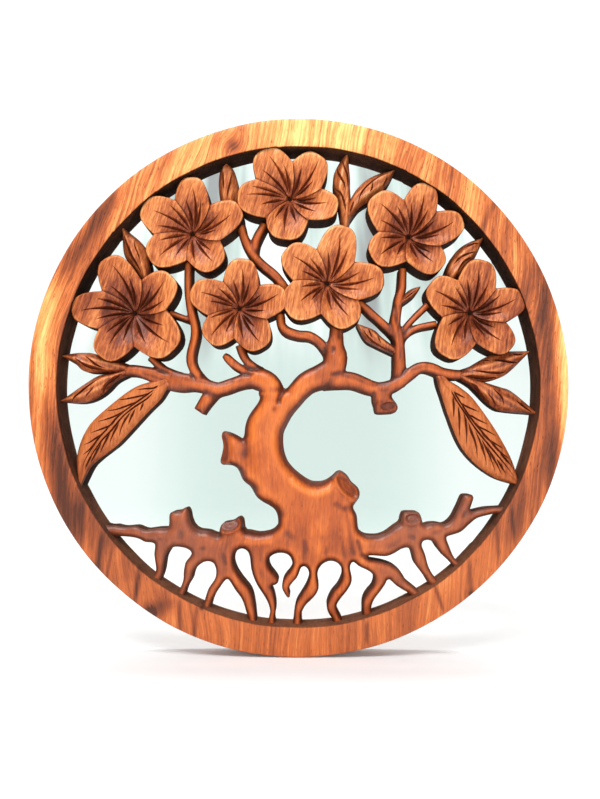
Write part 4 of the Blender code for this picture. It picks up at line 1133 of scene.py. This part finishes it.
# Each flower: the middle (x, z), then its petals as (direction in degrees, reach, width, and
# the outer ends of its grooves as (direction, distance))
flowers = {
    "far left": ((-90.8, 38.6), (
        (47, 29.5, 23, ((26, 18), (50, 24.8), (62, 19))),
        (117, 36, 23.5, ((101, 21.3), (116, 31), (132, 22))),
        (174, 36, 23, ((158, 23.4), (176.5, 31), (188, 23))),
        (232, 31, 23.5, ((214, 19.8), (230.5, 23), (247, 17.5))),
        (316, 30, 28, ((290, 18.2), (319.6, 25.3), (338, 17.6))))),
    "upper left": ((-59.0, 83.4), (
        (30, 31, 21.5, ((13, 13.5), (29, 25.1), (39, 18.5))),
        (92, 33.2, 21, ((78, 20.7), (91, 27.8), (102, 21.1))),
        (148, 33, 24.5, ((128, 22.5), (148, 26.6), (165, 21.3))),
        (208, 28, 23.5, ((190, 19.7), (213, 22.1), (232, 15.8))),
        (306, 23.5, 22.5, ((275, 15.4), (307, 19.4), (320, 13.7))))),
    "top": ((-4.3, 103.3), (
        (57, 30.8, 23.5, ((40, 17.3), (55, 28.5), (72, 21.5))),
        (118, 32.8, 24.5, ((100, 21.1), (115, 28.2), (132, 24.1))),
        (176, 29.6, 23.5, ((160, 23), (173, 25), (189, 16.9))),
        (262, 23, 25, ((232, 13.8), (261, 19.4), (286, 13.6))),
        (351, 27.5, 20, ((336, 16.4), (356.5, 21.4), (366, 15.5))))),
    "upper right": ((62.3, 81.3), (
        (18, 32.3, 20.5, ((7, 17.8), (20.3, 27.9), (34.3, 19))),
        (70, 32.8, 21, ((55.7, 19.9), (70.7, 27.8), (85.3, 20.8))),
        (127, 31, 24, ((108.8, 19.5), (128.4, 25.4), (146.3, 18.7))),
        (207, 23.5, 23, ((180, 15.8), (211.5, 19.1), (236.6, 12.3))),
        (315, 25.2, 21, ((294, 12.9), (315.8, 19.8), (327.8, 15.6))))),
    "middle": ((16.7, 55.2), (
        (6, 32, 22.8, ((-8.5, 19), (8, 27.2), (21, 20.4))),
        (74, 34.5, 23.5, ((60, 23), (76, 29.7), (89, 19.4))),
        (139, 30.6, 23.5, ((123, 17.4), (140, 24.9), (152, 16.6))),
        (213, 27.7, 25.5, ((186, 14.8), (213, 18.3), (225, 12.9))),
        (300, 27.2, 23.5, ((280, 15.6), (304, 22.5), (312, 15.7))))),
    "inner left": ((-32.4, 41.2), (
        (17, 27.5, 20.5, ((-2.8, 14.4), (21.6, 23.9), (35, 14.5))),
        (87, 28.7, 21.5, ((71, 17.2), (87.1, 23.8), (103, 17.4))),
        (157, 29.4, 22, ((135.7, 17.3), (156.5, 24.1), (165.1, 17.9))),
        (225, 25.3, 21, ((197.4, 17.4), (223.9, 21.9), (240, 15.8))),
        (300, 25.6, 22.5, ((278, 17.4), (301.4, 21.9), (310.6, 13.7))))),
    "far right": ((95.8, 38.5), (
        (15, 32, 20.7, ((3, 19.2), (17.6, 27.5), (31.1, 21.3))),
        (75, 31.2, 23, ((58.1, 21.2), (77.9, 27.1), (93.1, 20))),
        (141, 27.5, 23, ((117.5, 16.9), (146, 23.3), (163.4, 16.5))),
        (240, 27.8, 24, ((209.6, 14.2), (240.9, 21.2), (261.1, 16.2))),
        (319, 30.4, 21, ((305.3, 15.9), (319.6, 23.9), (331.4, 16.7))))),
}


def petalReach(petals, angle):
    # Distance from the flower's middle to its outline in one direction
    best = 0
    for direction, reach, width, _ in petals:
        turn = angle - math.radians(direction)
        if math.cos(turn) > 0:
            oval = ((math.cos(turn) / reach) ** petal["fullness"]
                    + (abs(math.sin(turn)) / (width / 2)) ** petal["fullness"])
            best = max(best, oval ** (-1 / petal["fullness"]))
    return best


def petalBorders(petals):
    # The directions of the notches, where the outline comes nearest between two petals
    borders = []
    steps = 120     # tries from one petal to the next, of which the middle ones count
    for (first, *_), (second, *_) in zip(petals, petals[1:] + petals[:1]):
        gap = (second - first) % 360
        between = [math.radians(first + gap * k / steps)
                   for k in range(steps // 5, steps * 4 // 5 + 1)]
        borders.append(min(between, key=lambda angle: petalReach(petals, angle)))
    return borders


def petalDepth(t, share, reach):
    # Depth at share t of a petal's reach, and at a share of its way from one border to the next
    bowl = petal["top"] + ((petal["bowlDepth"] - petal["top"])
                           * max(0, 1 - t / petal["bowlReach"]) ** petal["bowlCurve"])
    tucked = petal["overlap"] * share ** 2 * np.interp(t, petal["overlapAt"],
                                                       petal["overlapShares"])
    rolled = petal["crown"] * abs(2 * share - 1) ** petal["crownCurve"]
    outward = min(max(0, 1 - (1 - t) * reach / petal["edgeRound"]), petal["edgeQuarter"])
    edge = petal["edgeDrop"] * (1 - math.sqrt(1 - outward ** 2)) / petal["edgeQuarterDrop"]
    hole = petal["holeDepth"] * max(0, 1 - t * reach / petal["holeRadius"])
    return bowl + tucked + rolled + edge + hole


def makeFlower(name, middle, petals, back, seed):
    borders = petalBorders(petals)
    columns = []
    notch = math.radians(petal["notch"])
    swirl = math.radians(petal["swirl"])
    mean = np.mean([reach for _, reach, *_ in petals])

    def deeper(x, z, depth):
        # Low parts lie further out than they look, because the eye is near the panel's middle
        eyeX, eyeZ, distance = petal["seenFrom"]
        further = (depth - petal["top"]) / distance
        return x + (x - eyeX) * further, z + (z - eyeZ) * further, depth

    def petalPoint(angle, t, share, reach):
        turn = angle - swirl * (1 - t) * mean
        depth = petalDepth(t, share, reach)
        return deeper(middle[0] + t * reach * math.cos(turn),
                      middle[1] + t * reach * math.sin(turn), depth)

    # Columns of the flower's grid: direction, share of the way across the petal, and reach
    for start, end in zip(borders, borders[1:] + borders[:1]):
        span = (end - start) % math.tau - 2 * notch
        for k in range(petal["columns"] + 1):
            share = 0.5 - 0.5 * math.cos(math.pi * k / petal["columns"])
            angle = start + notch + share * span
            columns.append((angle, share, petalReach(petals, angle)))

    chance = np.random.default_rng(seed)
    grooves = []
    for *_, ends in petals:
        for direction, far in ends:
            path = []
            for away in np.linspace(petal["grooveStart"], far, petal["grooveStations"]):
                turn = math.radians(direction) - swirl * (far - away)
                reach = petalReach(petals, turn)
                path.append(deeper(middle[0] + away * math.cos(turn),
                                   middle[1] + away * math.sin(turn),
                                   petalDepth(away / reach, 0.5, reach))[:2])
            grooves.append((path, petal["grooveWidth"] * chance.uniform(*petal["grooveWidths"]),
                            petal["grooveDepth"] * chance.uniform(*petal["grooveDepths"]),
                            *petal["grooveEnds"]))

    rings = [[petalPoint(angle, t, share, reach) for angle, share, reach in columns]
             for t in petal["rings"]]
    rings += [[petalPoint(angle, 1 - inset / reach, share, reach)
               for angle, share, reach in columns] for inset in petal["edgeRings"]]
    rings.append([(x, z, back) for x, z, _ in rings[-1]])
    front = len(petal["rings"]) + len(petal["edgeRings"]) - 1
    # Relief across the petals: painted highlight on the border that lies on top and just inside the
    # edge, painted shade where a petal is tucked under
    between = [0.0] * (petal["columns"] - len(petal["farRelief"]))
    across = [petal["nearRelief"], *between, *petal["farRelief"]] * len(petals)
    relief = [[value + rubbed for value in across]
              for rubbed in [0.0] * len(petal["rings"]) + list(petal["edgeRelief"])]
    relief.append([0.0] * len(columns))
    shell = loft(name, rings, ["flowerWood", "shadedWood"], lambda i, j: i >= front, relief=relief)
    return carve(shell, grooves)


# The two broad leaves: cambered halves, a raised midrib, and veins cut with a knife

leaf = dict(
    edge=8.5,
    top=6.0,
    tip=7.0,
    camber=0.55,          # share of the half width at which a half stands highest
    valley=7.6,           # depth beside the midrib
    rib=0.9,              # height and half width of the midrib
    ribWidth=1.5,
    ribShape=1.4,         # above 1 it is slimmer, and a higher power makes its sides steeper
    ribPower=4,
    ribShares=(-0.16, -0.08, -0.03, 0.03, 0.08, 0.16),     # extra columns that shape it
    spacing=1.6,
    columns=26,
    leastHalf=0.35,
    fullHalf=6.0,         # half width from which a leaf has its full relief
    sink=2.5,             # its stem's end dives this deep into the bough, over this length
    sinkLength=5.0,
    fade=11.0,            # length over which it takes on the bough's colour
    stemRelief=-0.9,
    ribLines=(1.05, 0.8, 0.06, 0.3),     # width and depth of each kind of cut, then the shares
    veins=(1.1, 0.7, 0.08, 0.4),         # of its length over which it starts and runs out
    flutes=(1.7, 0.75, 0.3, 0.6),
)

# Each leaf: stations from its stem to its tip as (x, z, half width)
leaves = {
    "broad left leaf": ((-70, 2.5, 1.6), (-76, -0.8, 3.6), (-82, -5, 6.4), (-91, -11.2, 8.3),
                        (-106.5, -26, 9.8), (-112.7, -32.7, 8.9), (-117.4, -39.5, 6.7),
                        (-120.3, -46.5, 4.2), (-122, -58.5, 0.4)),
    "broad right leaf": ((80, 6, 2), (82.3, 0, 3.4), (87, -6.2, 6.2), (92.4, -14.3, 8.7),
                         (102.3, -32.3, 10.7), (114, -47, 7.4), (124, -57, 0.6)),
}

# Cuts on each leaf: the two beside its midrib, its fine veins, and the flutes of its lower half
leafCuts = {
    "broad left leaf": dict(
        ribLines=(
            ((-80.6, -3.6), (-84.6, -6.4), (-92.5, -12.1), (-100, -17.8), (-106.9, -25.4),
             (-113.4, -33.4), (-119.2, -43.3), (-120.5, -48.2)),
            ((-81.3, -5.2), (-84.5, -8.5), (-91.8, -13.5), (-98.3, -18.8), (-104.2, -26.1),
             (-110.1, -32.4), (-115.2, -40), (-119.7, -48.2))),
        veins=(
            ((-78.3, -1.2), (-81.3, -2.9), (-85.9, -3.2), (-91.3, -3.7)),
            ((-83.9, -5.6), (-87.2, -6.9), (-92.5, -8.2), (-97.2, -9), (-101.8, -9.2)),
            ((-89.8, -10.2), (-93.8, -11.9), (-97.8, -13.5), (-102.4, -15), (-107.7, -15.5)),
            ((-96.4, -15), (-100.4, -17.5), (-105.6, -19.8), (-112.6, -21.8)),
            ((-102, -20.3), (-104.9, -23.5), (-107.5, -24.8), (-111.5, -26.4), (-116.4, -28.1)),
            ((-106.2, -24.9), (-108.8, -27.8), (-113.4, -31.1), (-116.7, -33.4), (-120, -34.7)),
            ((-110.8, -29.7), (-113.4, -33.4), (-116, -36.7), (-120.4, -40.4))),
        flutes=(
            ((-86.5, -10.2), (-87.2, -12.5), (-88.6, -16)),
            ((-91.1, -13.9), (-93, -18.2), (-95, -23.5)),
            ((-93.7, -15.8), (-97, -20.8), (-98.8, -25), (-100, -30)),
            ((-100.3, -22.1), (-101.9, -25.4), (-103.8, -29.4), (-105.3, -34)),
            ((-104.9, -26.8), (-106.8, -30.7), (-109, -35.5), (-110.6, -39.5)),
            ((-110.1, -33.4), (-112, -37.3), (-114.2, -41.8), (-116, -45)),
            ((-115.2, -40), (-117.2, -44), (-119.2, -49)))),
    "broad right leaf": dict(
        ribLines=(
            ((86.2, -4), (88.4, -8.6), (93.6, -16.5), (99.4, -25.2), (105.3, -32.8), (112, -41),
             (116.8, -47), (120.6, -52.2)),
            ((87.5, -4.6), (91.7, -11.3), (98.1, -21.1), (104.4, -28.8), (110.6, -35.8),
             (117, -43.3), (121.3, -49.6))),
        veins=(
            ((87.5, -4.6), (89.7, -6.3), (94.3, -8.6)),
            ((90.7, -9.9), (93, -12.2), (96.2, -13.9), (101.8, -16.2)),
            ((94.9, -16.9), (97.5, -18.5), (100.7, -20.5), (106.6, -23.1)),
            ((98.1, -21.1), (101.3, -24.4), (105.2, -26.4), (111.4, -29.7)),
            ((102.6, -27.7), (105.8, -31), (109.7, -33.6), (115.2, -36.7)),
            ((107.5, -32.4), (110.6, -36.4), (113.4, -38.9), (118.2, -42.4)),
            ((112.5, -38.4), (115.4, -42.2), (119.6, -46.4))),
        flutes=(
            ((87.1, -7.3), (87.6, -11.9), (87.3, -19.5)),
            ((90, -12.6), (90.6, -18.5), (90.5, -23.8), (90.6, -30)),
            ((92.9, -16.5), (94.2, -21.1), (94.6, -27), (94.4, -34)),
            ((95.5, -21.8), (97.4, -27.7), (99, -31.6), (100, -37), (100.2, -42.5)),
            ((99.3, -26.7), (101.6, -31.6), (103.4, -36.5), (104.8, -42), (105.2, -46)),
            ((102.6, -30.7), (105.4, -36.5), (107.8, -42), (109.4, -47), (110, -49.8)),
            ((106.1, -35.9), (109.4, -42), (112, -47), (113.6, -51)),
            ((110.9, -42.1), (113.6, -46.5), (116, -50.8)))),
}


def makeLeaf(name, stations, back):
    line = spline(stations, leaf["spacing"])
    across = sideways(line)
    shares = -np.cos(np.linspace(0, math.pi, leaf["columns"] + 1))
    shares = np.unique(np.concatenate([shares, leaf["ribShares"]]))
    rings = []
    relief = []
    for k, (station, direction) in enumerate(zip(line, across)):
        half = max(station[2], leaf["leastHalf"])
        swell = min(1, half / leaf["fullHalf"])
        sink = leaf["sink"] * (1 - smoothStep(0, leaf["sinkLength"], k * leaf["spacing"]))
        top = leaf["tip"] + (leaf["top"] - leaf["tip"]) * swell
        valley = leaf["tip"] + (leaf["valley"] - leaf["tip"]) * swell
        ring = []
        for share in shares:
            off = abs(share)
            if off < leaf["camber"]:
                depth = valley + (top - valley) * math.sin(off / leaf["camber"] * math.pi / 2)
            else:
                over = (off - leaf["camber"]) / (1 - leaf["camber"])
                depth = top + (leaf["edge"] - top) * over ** 2
            fromRib = share * half / leaf["ribWidth"] * leaf["ribShape"]
            depth -= leaf["rib"] * swell * math.exp(-fromRib ** leaf["ribPower"])
            ring.append((*(station[:2] + direction * share * half), depth + sink))
        ring.append((*(station[:2] + direction * half), back))
        ring.append((*(station[:2] - direction * half), back))
        rings.append(ring)
        fade = 1 - smoothStep(0, leaf["fade"], k * leaf["spacing"])
        relief.append([leaf["stemRelief"] * fade] * len(ring))
    front = len(shares) - 1
    shell = loft(name, rings, ["leafWood", "shadedWood"], lambda i, j: j >= front, relief=relief)
    return carve(shell, [(points, *leaf[kind]) for kind, cuts in leafCuts[name].items()
                         for points in cuts])


# The rolled buds and twin leaves: a round back with folds that wind to the tip

bud = dict(
    edge=10.0,
    tip=8.0,
    top=5.2,
    roundness=2.2,        # 2 for an even round back, more for one with a flatter top
    leastHalf=0.35,
    fullHalf=4.0,         # half width from which a bud has its full relief
    spacing=1.3,
    columns=22,
    pleats=0.25,          # small folds per mm across, how far they wind per ring, their depth
    twist=0.035,
    pleatDepth=0.4,
    sink=2.5,             # its stem's end dives this deep into the bough, over this length
    sinkLength=5.0,
    fade=9.0,             # length over which it takes on the bough's colour
    stemRelief=-0.6,
    # pleatRelief and edgeRelief: painted highlight on the pleats' crests, painted shade between
    # them and towards the sides
    pleatRelief=0.6,
    edgeRelief=-0.4,
    foldDepth=0.9,        # share of the depths below
    foldEnds=(0.3, 0.4),     # shares of its length over which a fold starts and runs out
)

# Each bud: stations from its stem to its tip as (x, z, half width), and the folds cut on it as
# (points, width, depth)
buds = {
    "lower left bud": (
        ((-95, 7.3, 2), (-104, 3.6, 2.7), (-110.5, 0.3, 5), (-117, -4, 5.4), (-124, -7.2, 4.2),
         (-134, -10, 0.5)),
        ((((-99, 5.3), (-102, 3.5), (-106, 0.5), (-108.5, -2), (-110, -5.5)), 2.0, 1.7),
         (((-113, 2), (-117, -0.5), (-121, -4), (-124.5, -7), (-127.5, -10.5)), 1.5, 1.1),
         (((-114.5, -1.5), (-117, -5), (-119.5, -8)), 1.2, 0.7))),
    "left bud": (
        ((-96, 8.6, 2.4), (-106, 10.3, 3.9), (-118.5, 12, 5.6), (-125, 14.2, 3.6),
         (-134, 15.8, 0.5)),
        ((((-108, 8.5), (-111, 9.2), (-114.5, 11), (-118, 14), (-120.5, 16)), 1.5, 1.2),
         (((-110, 7.8), (-114, 8.2), (-119, 9.6), (-122, 11.5), (-125.5, 14.2)), 1.9, 1.5))),
    "bud over the far left flower": (
        ((-86, 57, 2.4), (-88, 64.5, 4.1), (-91.5, 71.7, 6), (-94.8, 78.5, 5.8),
         (-100.4, 89.5, 0.5)),
        ((((-88.7, 62.8), (-91, 67), (-94, 71.5), (-96, 76), (-97.5, 80), (-98.5, 84.5)), 2.0, 1.6),
         (((-89, 68), (-89.8, 71), (-91, 74.5), (-92.5, 78), (-93, 81.5)), 1.1, 0.8),
         (((-94, 73), (-95.3, 76), (-95.5, 79)), 0.9, 0.6))),
    "round bud": (
        ((-38.4, 100, 5.2), (-39, 107, 5.8), (-39.9, 114, 5.7), (-40.4, 119, 5.1),
         (-40.8, 123, 4.0), (-41, 125.4, 2.4), (-41.1, 126.4, 1.0)),
        ((((-42.2, 111), (-42.7, 117), (-42.8, 121.5)), 1.3, 0.8),
         (((-40.2, 105), (-39.8, 110), (-38.3, 115), (-37.6, 120)), 1.5, 0.9))),
    "left twin leaf": (
        ((26, 84, 2.5), (27.2, 92, 2.6), (26.6, 105, 3.9), (25.4, 112, 4.8), (25.4, 119.5, 4.8),
         (26.8, 127, 2.8), (28.8, 133.2, 0.5)),
        ((((29.3, 112), (28.9, 118), (27.8, 121.5), (26.3, 124.5), (25.7, 128)), 1.3, 1.0),
         (((27.3, 110), (26.5, 114.5), (24.6, 117.3), (23, 120.5), (22.8, 124)), 1.6, 1.2),
         (((27.4, 98), (26.5, 103.5), (25, 107.5), (22.8, 110), (21, 112.5)), 1.5, 1.2))),
    "right twin leaf": (
        ((28, 95, 2.5), (32.5, 103, 3.5), (37.3, 108.3, 5), (43.3, 113.3, 5.6),
         (49.7, 118.2, 3.8), (55.4, 122.6, 0.5)),
        ((((34.6, 102.5), (35.2, 106), (37, 109.6), (39.5, 112.6), (43, 115.8), (47, 118.4),
           (51, 119.8)), 1.3, 1.0),
         (((42.8, 115), (42.6, 112), (41.2, 109)), 1.4, 1.0),
         (((51.5, 118), (50, 115), (48.8, 112.5)), 1.0, 0.7),
         (((30, 97.5), (30.8, 101), (32.2, 104.5)), 1.4, 1.0))),
    "upper right bud": (
        ((85.5, 58, 3), (90, 65.5, 4.9), (94.5, 71.7, 5.6), (99.5, 77.3, 4.2), (105.8, 83.4, 0.5)),
        ((((88, 67), (91, 70.3), (94, 72.3), (97, 73.6), (101, 74.6)), 1.5, 1.2),
         (((94.5, 77.2), (97, 78.5), (100, 79.2), (103, 79.5)), 1.2, 1.0),
         (((90.5, 62.5), (92.5, 66.5), (95, 69.5), (99, 71.5)), 1.6, 1.2))),
    "right bud": (
        ((90, 4.8, 2.4), (98, 5.6, 4.2), (105, 7.2, 6.1), (112, 9.8, 7), (119, 13, 5.6),
         (130.5, 17.9, 0.6)),
        ((((97, 6.9), (102, 6.7), (106, 6), (110, 5.6), (114, 5.6), (118, 6.8)), 1.4, 1.1),
         (((94, 3.9), (100, 3.1), (106, 2.6), (112, 3.4)), 2.0, 1.5),
         (((109, 13.2), (114, 12.7), (119, 11.6), (124, 11.8)), 1.5, 1.2),
         (((120.5, 16.4), (124, 16), (127.5, 16.6)), 1.1, 0.9),
         (((103.5, 12.8), (106, 13.2), (109, 12.4)), 1.2, 0.7))),
    "lower right bud": (
        ((90, 5, 2), (99, 0.5, 2.5), (112, -7.5, 6.1), (119, -10.4, 6), (134, -16.8, 0.8)),
        ((((97.5, 0.2), (100.5, -3), (103.6, -7), (106.8, -11), (110, -14.8)), 2.2, 1.8),
         (((109.5, -3), (112.5, -6), (114.5, -9), (115.5, -12.5)), 1.2, 0.8),
         (((122, -9.6), (125, -12), (128, -14.4), (131, -16.2)), 1.4, 1.2),
         (((106, -5), (109, -9), (111.5, -13)), 1.0, 0.5))),
    "inner right bud": (
        ((57, 17, 2), (46.2, 23.6, 3.3), (40.7, 27.7, 3.9), (33.8, 33.8, 0.5)),
        ((((51, 18.8), (47, 20.6), (42, 23.6), (38.5, 27.5), (36.6, 31.5)), 1.1, 0.7),
         (((40, 31), (40.8, 28.4), (42.2, 25.4)), 1.0, 0.7),
         (((45.3, 27), (46, 24.5), (47.2, 22.3)), 1.0, 0.7))),
    "smallest bud": (
        ((57.5, 45, 1.6), (65, 51.5, 2.4), (69.6, 55, 0.5)),
        ((((60, 47.4), (64, 50.5), (67.5, 53.4)), 0.9, 0.7),)),
}


def makeBud(name, stations, folds, back):
    line = spline(stations, bud["spacing"])
    across = sideways(line)
    shares = -np.cos(np.linspace(0, math.pi, bud["columns"] + 1))
    rings = []
    relief = []
    for k, (station, direction) in enumerate(zip(line, across)):
        half = max(station[2], bud["leastHalf"])
        swell = min(1, half / bud["fullHalf"])
        top = bud["tip"] + (bud["top"] - bud["tip"]) * swell
        sink = bud["sink"] * (1 - smoothStep(0, bud["sinkLength"], k * bud["spacing"]))
        waves = [math.cos(math.tau * (share * half * bud["pleats"] + k * bud["twist"]))
                 * (1 - share ** 2) * swell for share in shares]
        ring = [(*(station[:2] + direction * share * half),
                 top + (bud["edge"] - top) * abs(share) ** bud["roundness"]
                 - wave * bud["pleatDepth"] + sink)
                for share, wave in zip(shares, waves)]
        ring.append((*(station[:2] + direction * half), back))
        ring.append((*(station[:2] - direction * half), back))
        rings.append(ring)
        fade = 1 - smoothStep(0, bud["fade"], k * bud["spacing"])
        # Painted highlight and shade on the pleats, painted shade towards the sides, and the stem's
        # end in the bough's colour
        relief.append([wave * bud["pleatRelief"] + abs(share) ** 4 * bud["edgeRelief"]
                       + bud["stemRelief"] * fade for share, wave in zip(shares, waves)] + [0, 0])
    front = len(shares) - 1
    shell = loft(name, rings, ["budWood", "shadedWood"], lambda i, j: j >= front, relief=relief)
    return carve(shell, [(points, width, depth * bud["foldDepth"], *bud["foldEnds"])
                         for points, width, depth in folds])


# The whole panel

def makePanel():
    shells = []
    count = 1 + len(flowers) + len(leaves) + len(buds)

    def backDepth():
        # Backs a little apart, so that no two of them share a plane
        return board["thickness"] + board["sawAllowance"] * (1 + len(shells) / count)

    shells.append(makeTree(backDepth()))
    print("tree", len(shells[-1].data.vertices), "points")
    for name, stations in leaves.items():
        shells.append(makeLeaf(name, stations, backDepth()))
    for name, (stations, folds) in buds.items():
        shells.append(makeBud(name, stations, folds, backDepth()))
    print("leaves and buds carved")
    for number, (name, (middle, petals)) in enumerate(flowers.items()):
        shells.append(makeFlower(name, middle, petals, backDepth(), 10 + number))
    print("flowers carved")
    panel = makeRim()
    panel.name = "carvedPanel"
    combine(panel, shells, "UNION")
    reach = board["radius"] + board["sawReach"]
    square = [(-reach, -reach), (reach, -reach), (reach, reach), (-reach, reach)]
    depths = (board["thickness"], board["thickness"] + board["sawBlock"])
    saw = loft("saw", [[(x, z, depth) for x, z in square] for depth in depths], ["backWood"])
    combine(panel, [saw], "DIFFERENCE")
    dropFlaps(panel)
    bpy.context.scene.collection.objects.link(panel)
    panel.data.shade_smooth()
    panel.data.set_sharp_from_angle(angle=math.radians(board["sharpFrom"]))
    return panel


panel = makePanel()
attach(panel, "root")
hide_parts("carved_panel")
print("panel", len(panel.data.polygons), "faces")


# The floor and backdrop, the light and the camera

# A painted shadow of the panel, grey behind the openings; it widens evenly with the distance from
# the panel. Its colours run from the white paper through the painted shadow to the darkest painted
# shade of its folds
paperAndShadow = dict(
    x=0.007,
    z=-0.178,
    start=0.448,
    leanX=-0.0164,
    leanZ=0.0835,
    edge=(0.345, 0.320),      # where it fades out sideways, as a share of the distance
    frontFade=(0.55, 1.15),         # and towards the front
    upper=(-0.05, 0.2),       # heights over which its upper part, with painted shade of folds, begins
    sides=(0.004, 0.05),      # where its lower part pales, as the square of such a share
    paler=0.45,
    grey=0.54,
    upperGrey=-0.1,
    folds=9.0,                # painted folds across and up, how they fan out, and how dark their painted shade is
    foldsUp=1.3,
    foldFan=2.0,
    foldDepth=3.0,
    stops=((0.0, (0.93, 0.94, 0.94)), (0.5, (0.56, 0.67, 0.63)), (1.0, (0.30, 0.32, 0.32))),
    roughness=0.9,
    gloss=0.1,
    glow=0.06,                # keeps the paper white where little light falls
)

studio = dict(
    floor=-0.292,
    flats=(-2.2, -0.6, 0.0),     # rows of the floor, from the front
    back=1.5,
    sweep=0.5,           # radius of the curve between floor and backdrop
    sweepSteps=12,
    halfWidth=2.4,
    columns=8,
    height=2.4,
    room=0.3,            # strength of the light from all round
)

lights = {
    "keyFromAbove": dict(place=(-0.25, -0.75, 0.95), aim=(0, 0, -0.14), size=(0.9, 0.6), power=15),
    "fillFromFront": dict(place=(0.3, -1.6, 0.1), aim=(0, 0, -0.14), size=(1.4, 1.0), power=7),
    "backdropLight": dict(place=(0, 0.4, 1.9), aim=(0, 1.4, 0.2), size=(2.2, 0.6), power=30),
}

view = dict(
    lens=34.9,
    sensor=36,
    nearest=0.01,
    place=(0.0070, -0.4477, -0.1777),
    right=(0.99992, 0.01272, 0.00078),
    ahead=(-0.01274, 0.99807, 0.06086),
)


def makePaper():
    # White paper with a painted grey shadow of the panel over its middle, and painted shade of soft
    # folds in its upper part
    paper = bpy.data.materials.new("whitePaper")
    paper.use_nodes = True
    shader = paper.node_tree.nodes["Principled BSDF"]
    start = Socket(paper.node_tree)
    spot = start.node("ShaderNodeTexCoord", output="Object")
    x = start.node("ShaderNodeSeparateXYZ", values={"Vector": spot})
    away = x.also(1) + paperAndShadow["start"]
    z = x.also(2)
    offX = (x - paperAndShadow["x"]) / away - paperAndShadow["leanX"]
    offZ = (z - paperAndShadow["z"]) / away - paperAndShadow["leanZ"]
    # Where the painted shadow lies: a cone behind the panel that widens with the distance from it
    shadowed = ((offX * offX + offZ * offZ).math("SQRT").within(*paperAndShadow["edge"])
               * away.within(*paperAndShadow["frontFade"]))
    lean = start.node("ShaderNodeCombineXYZ", values={
        "X": (x + offZ * offX * paperAndShadow["foldFan"]) * paperAndShadow["folds"], "Y": 0.0,
        "Z": z * paperAndShadow["foldsUp"]})
    folds = start.node("ShaderNodeTexNoise", values={"Vector": lean, "Scale": 1.0, "Detail": 3.0})
    upper = z.within(*paperAndShadow["upper"])
    aside = (offX * offX).within(*paperAndShadow["sides"]) * (1 - upper)
    shadowed = shadowed * (1 - aside * paperAndShadow["paler"])
    # Painted shade of soft folds in the upper part of the painted shadow
    foldShade = paperAndShadow["upperGrey"] + (folds - 0.5) * paperAndShadow["foldDepth"]
    tone = shadowed * (paperAndShadow["grey"] + upper * foldShade)
    colour = start.node("ShaderNodeValToRGB", {"stops": paperAndShadow["stops"]}, {"Fac": tone})
    paper.node_tree.links.new(colour.plug, shader.inputs["Base Color"])
    shader.inputs["Roughness"].default_value = paperAndShadow["roughness"]
    shader.inputs["Specular IOR Level"].default_value = paperAndShadow["gloss"]
    shader.inputs["Emission Color"].default_value = (1, 1, 1, 1)
    shader.inputs["Emission Strength"].default_value = paperAndShadow["glow"]
    return paper


def makeSweep():
    # Floor and backdrop in one curved sheet
    profile = [(y, studio["floor"]) for y in studio["flats"]]
    middle = (studio["back"] - studio["sweep"], studio["floor"] + studio["sweep"])
    for k in range(studio["sweepSteps"] + 1):
        turn = math.pi / 2 / studio["sweepSteps"] * k
        profile.append((middle[0] + studio["sweep"] * math.sin(turn),
                        middle[1] - studio["sweep"] * math.cos(turn)))
    profile.append((studio["back"], studio["height"]))
    count = studio["columns"] + 1
    across = np.linspace(-studio["halfWidth"], studio["halfWidth"], count)
    points = [(x, y, z) for y, z in profile for x in across]
    faces = [(i * count + j, i * count + j + 1, (i + 1) * count + j + 1, (i + 1) * count + j)
             for i in range(len(profile) - 1) for j in range(count - 1)]
    mesh = bpy.data.meshes.new("studioSweep")
    mesh.from_pydata(points, [], faces)
    mesh.shade_smooth()
    mesh.materials.append(makePaper())
    sweep = bpy.data.objects.new("studioSweep", mesh)
    bpy.context.scene.collection.objects.link(sweep)


def addLight(name, place, aim, size, power):
    light = bpy.data.lights.new(name, "AREA")
    light.shape = "RECTANGLE"
    light.size, light.size_y = size
    light.energy = power
    lamp = bpy.data.objects.new(name, light)
    bpy.context.scene.collection.objects.link(lamp)
    lamp.location = place
    lamp.rotation_euler = (Vector(aim) - Vector(place)).to_track_quat("-Z", "Y").to_euler()


def addCamera():
    camera = bpy.data.cameras.new("camera")
    camera.lens = view["lens"]
    camera.sensor_width = view["sensor"]
    camera.clip_start = view["nearest"]
    eye = bpy.data.objects.new("camera", camera)
    bpy.context.scene.collection.objects.link(eye)
    right = Vector(view["right"])
    ahead = Vector(view["ahead"])
    turned = Matrix((right, right.cross(ahead), -ahead)).transposed()
    eye.matrix_world = Matrix.Translation(view["place"]) @ turned.to_4x4()
    bpy.context.scene.camera = eye


makeSweep()
for name, light in lights.items():
    addLight(name, **light)
addCamera()
world = bpy.data.worlds.new("room")
bpy.context.scene.world = world
world.use_nodes = True
room = world.node_tree.nodes["Background"]
room.inputs["Color"].default_value = (1, 1, 1, 1)
room.inputs["Strength"].default_value = studio["room"]
bpy.context.scene.view_settings.view_transform = "Standard"
print("studio ready")
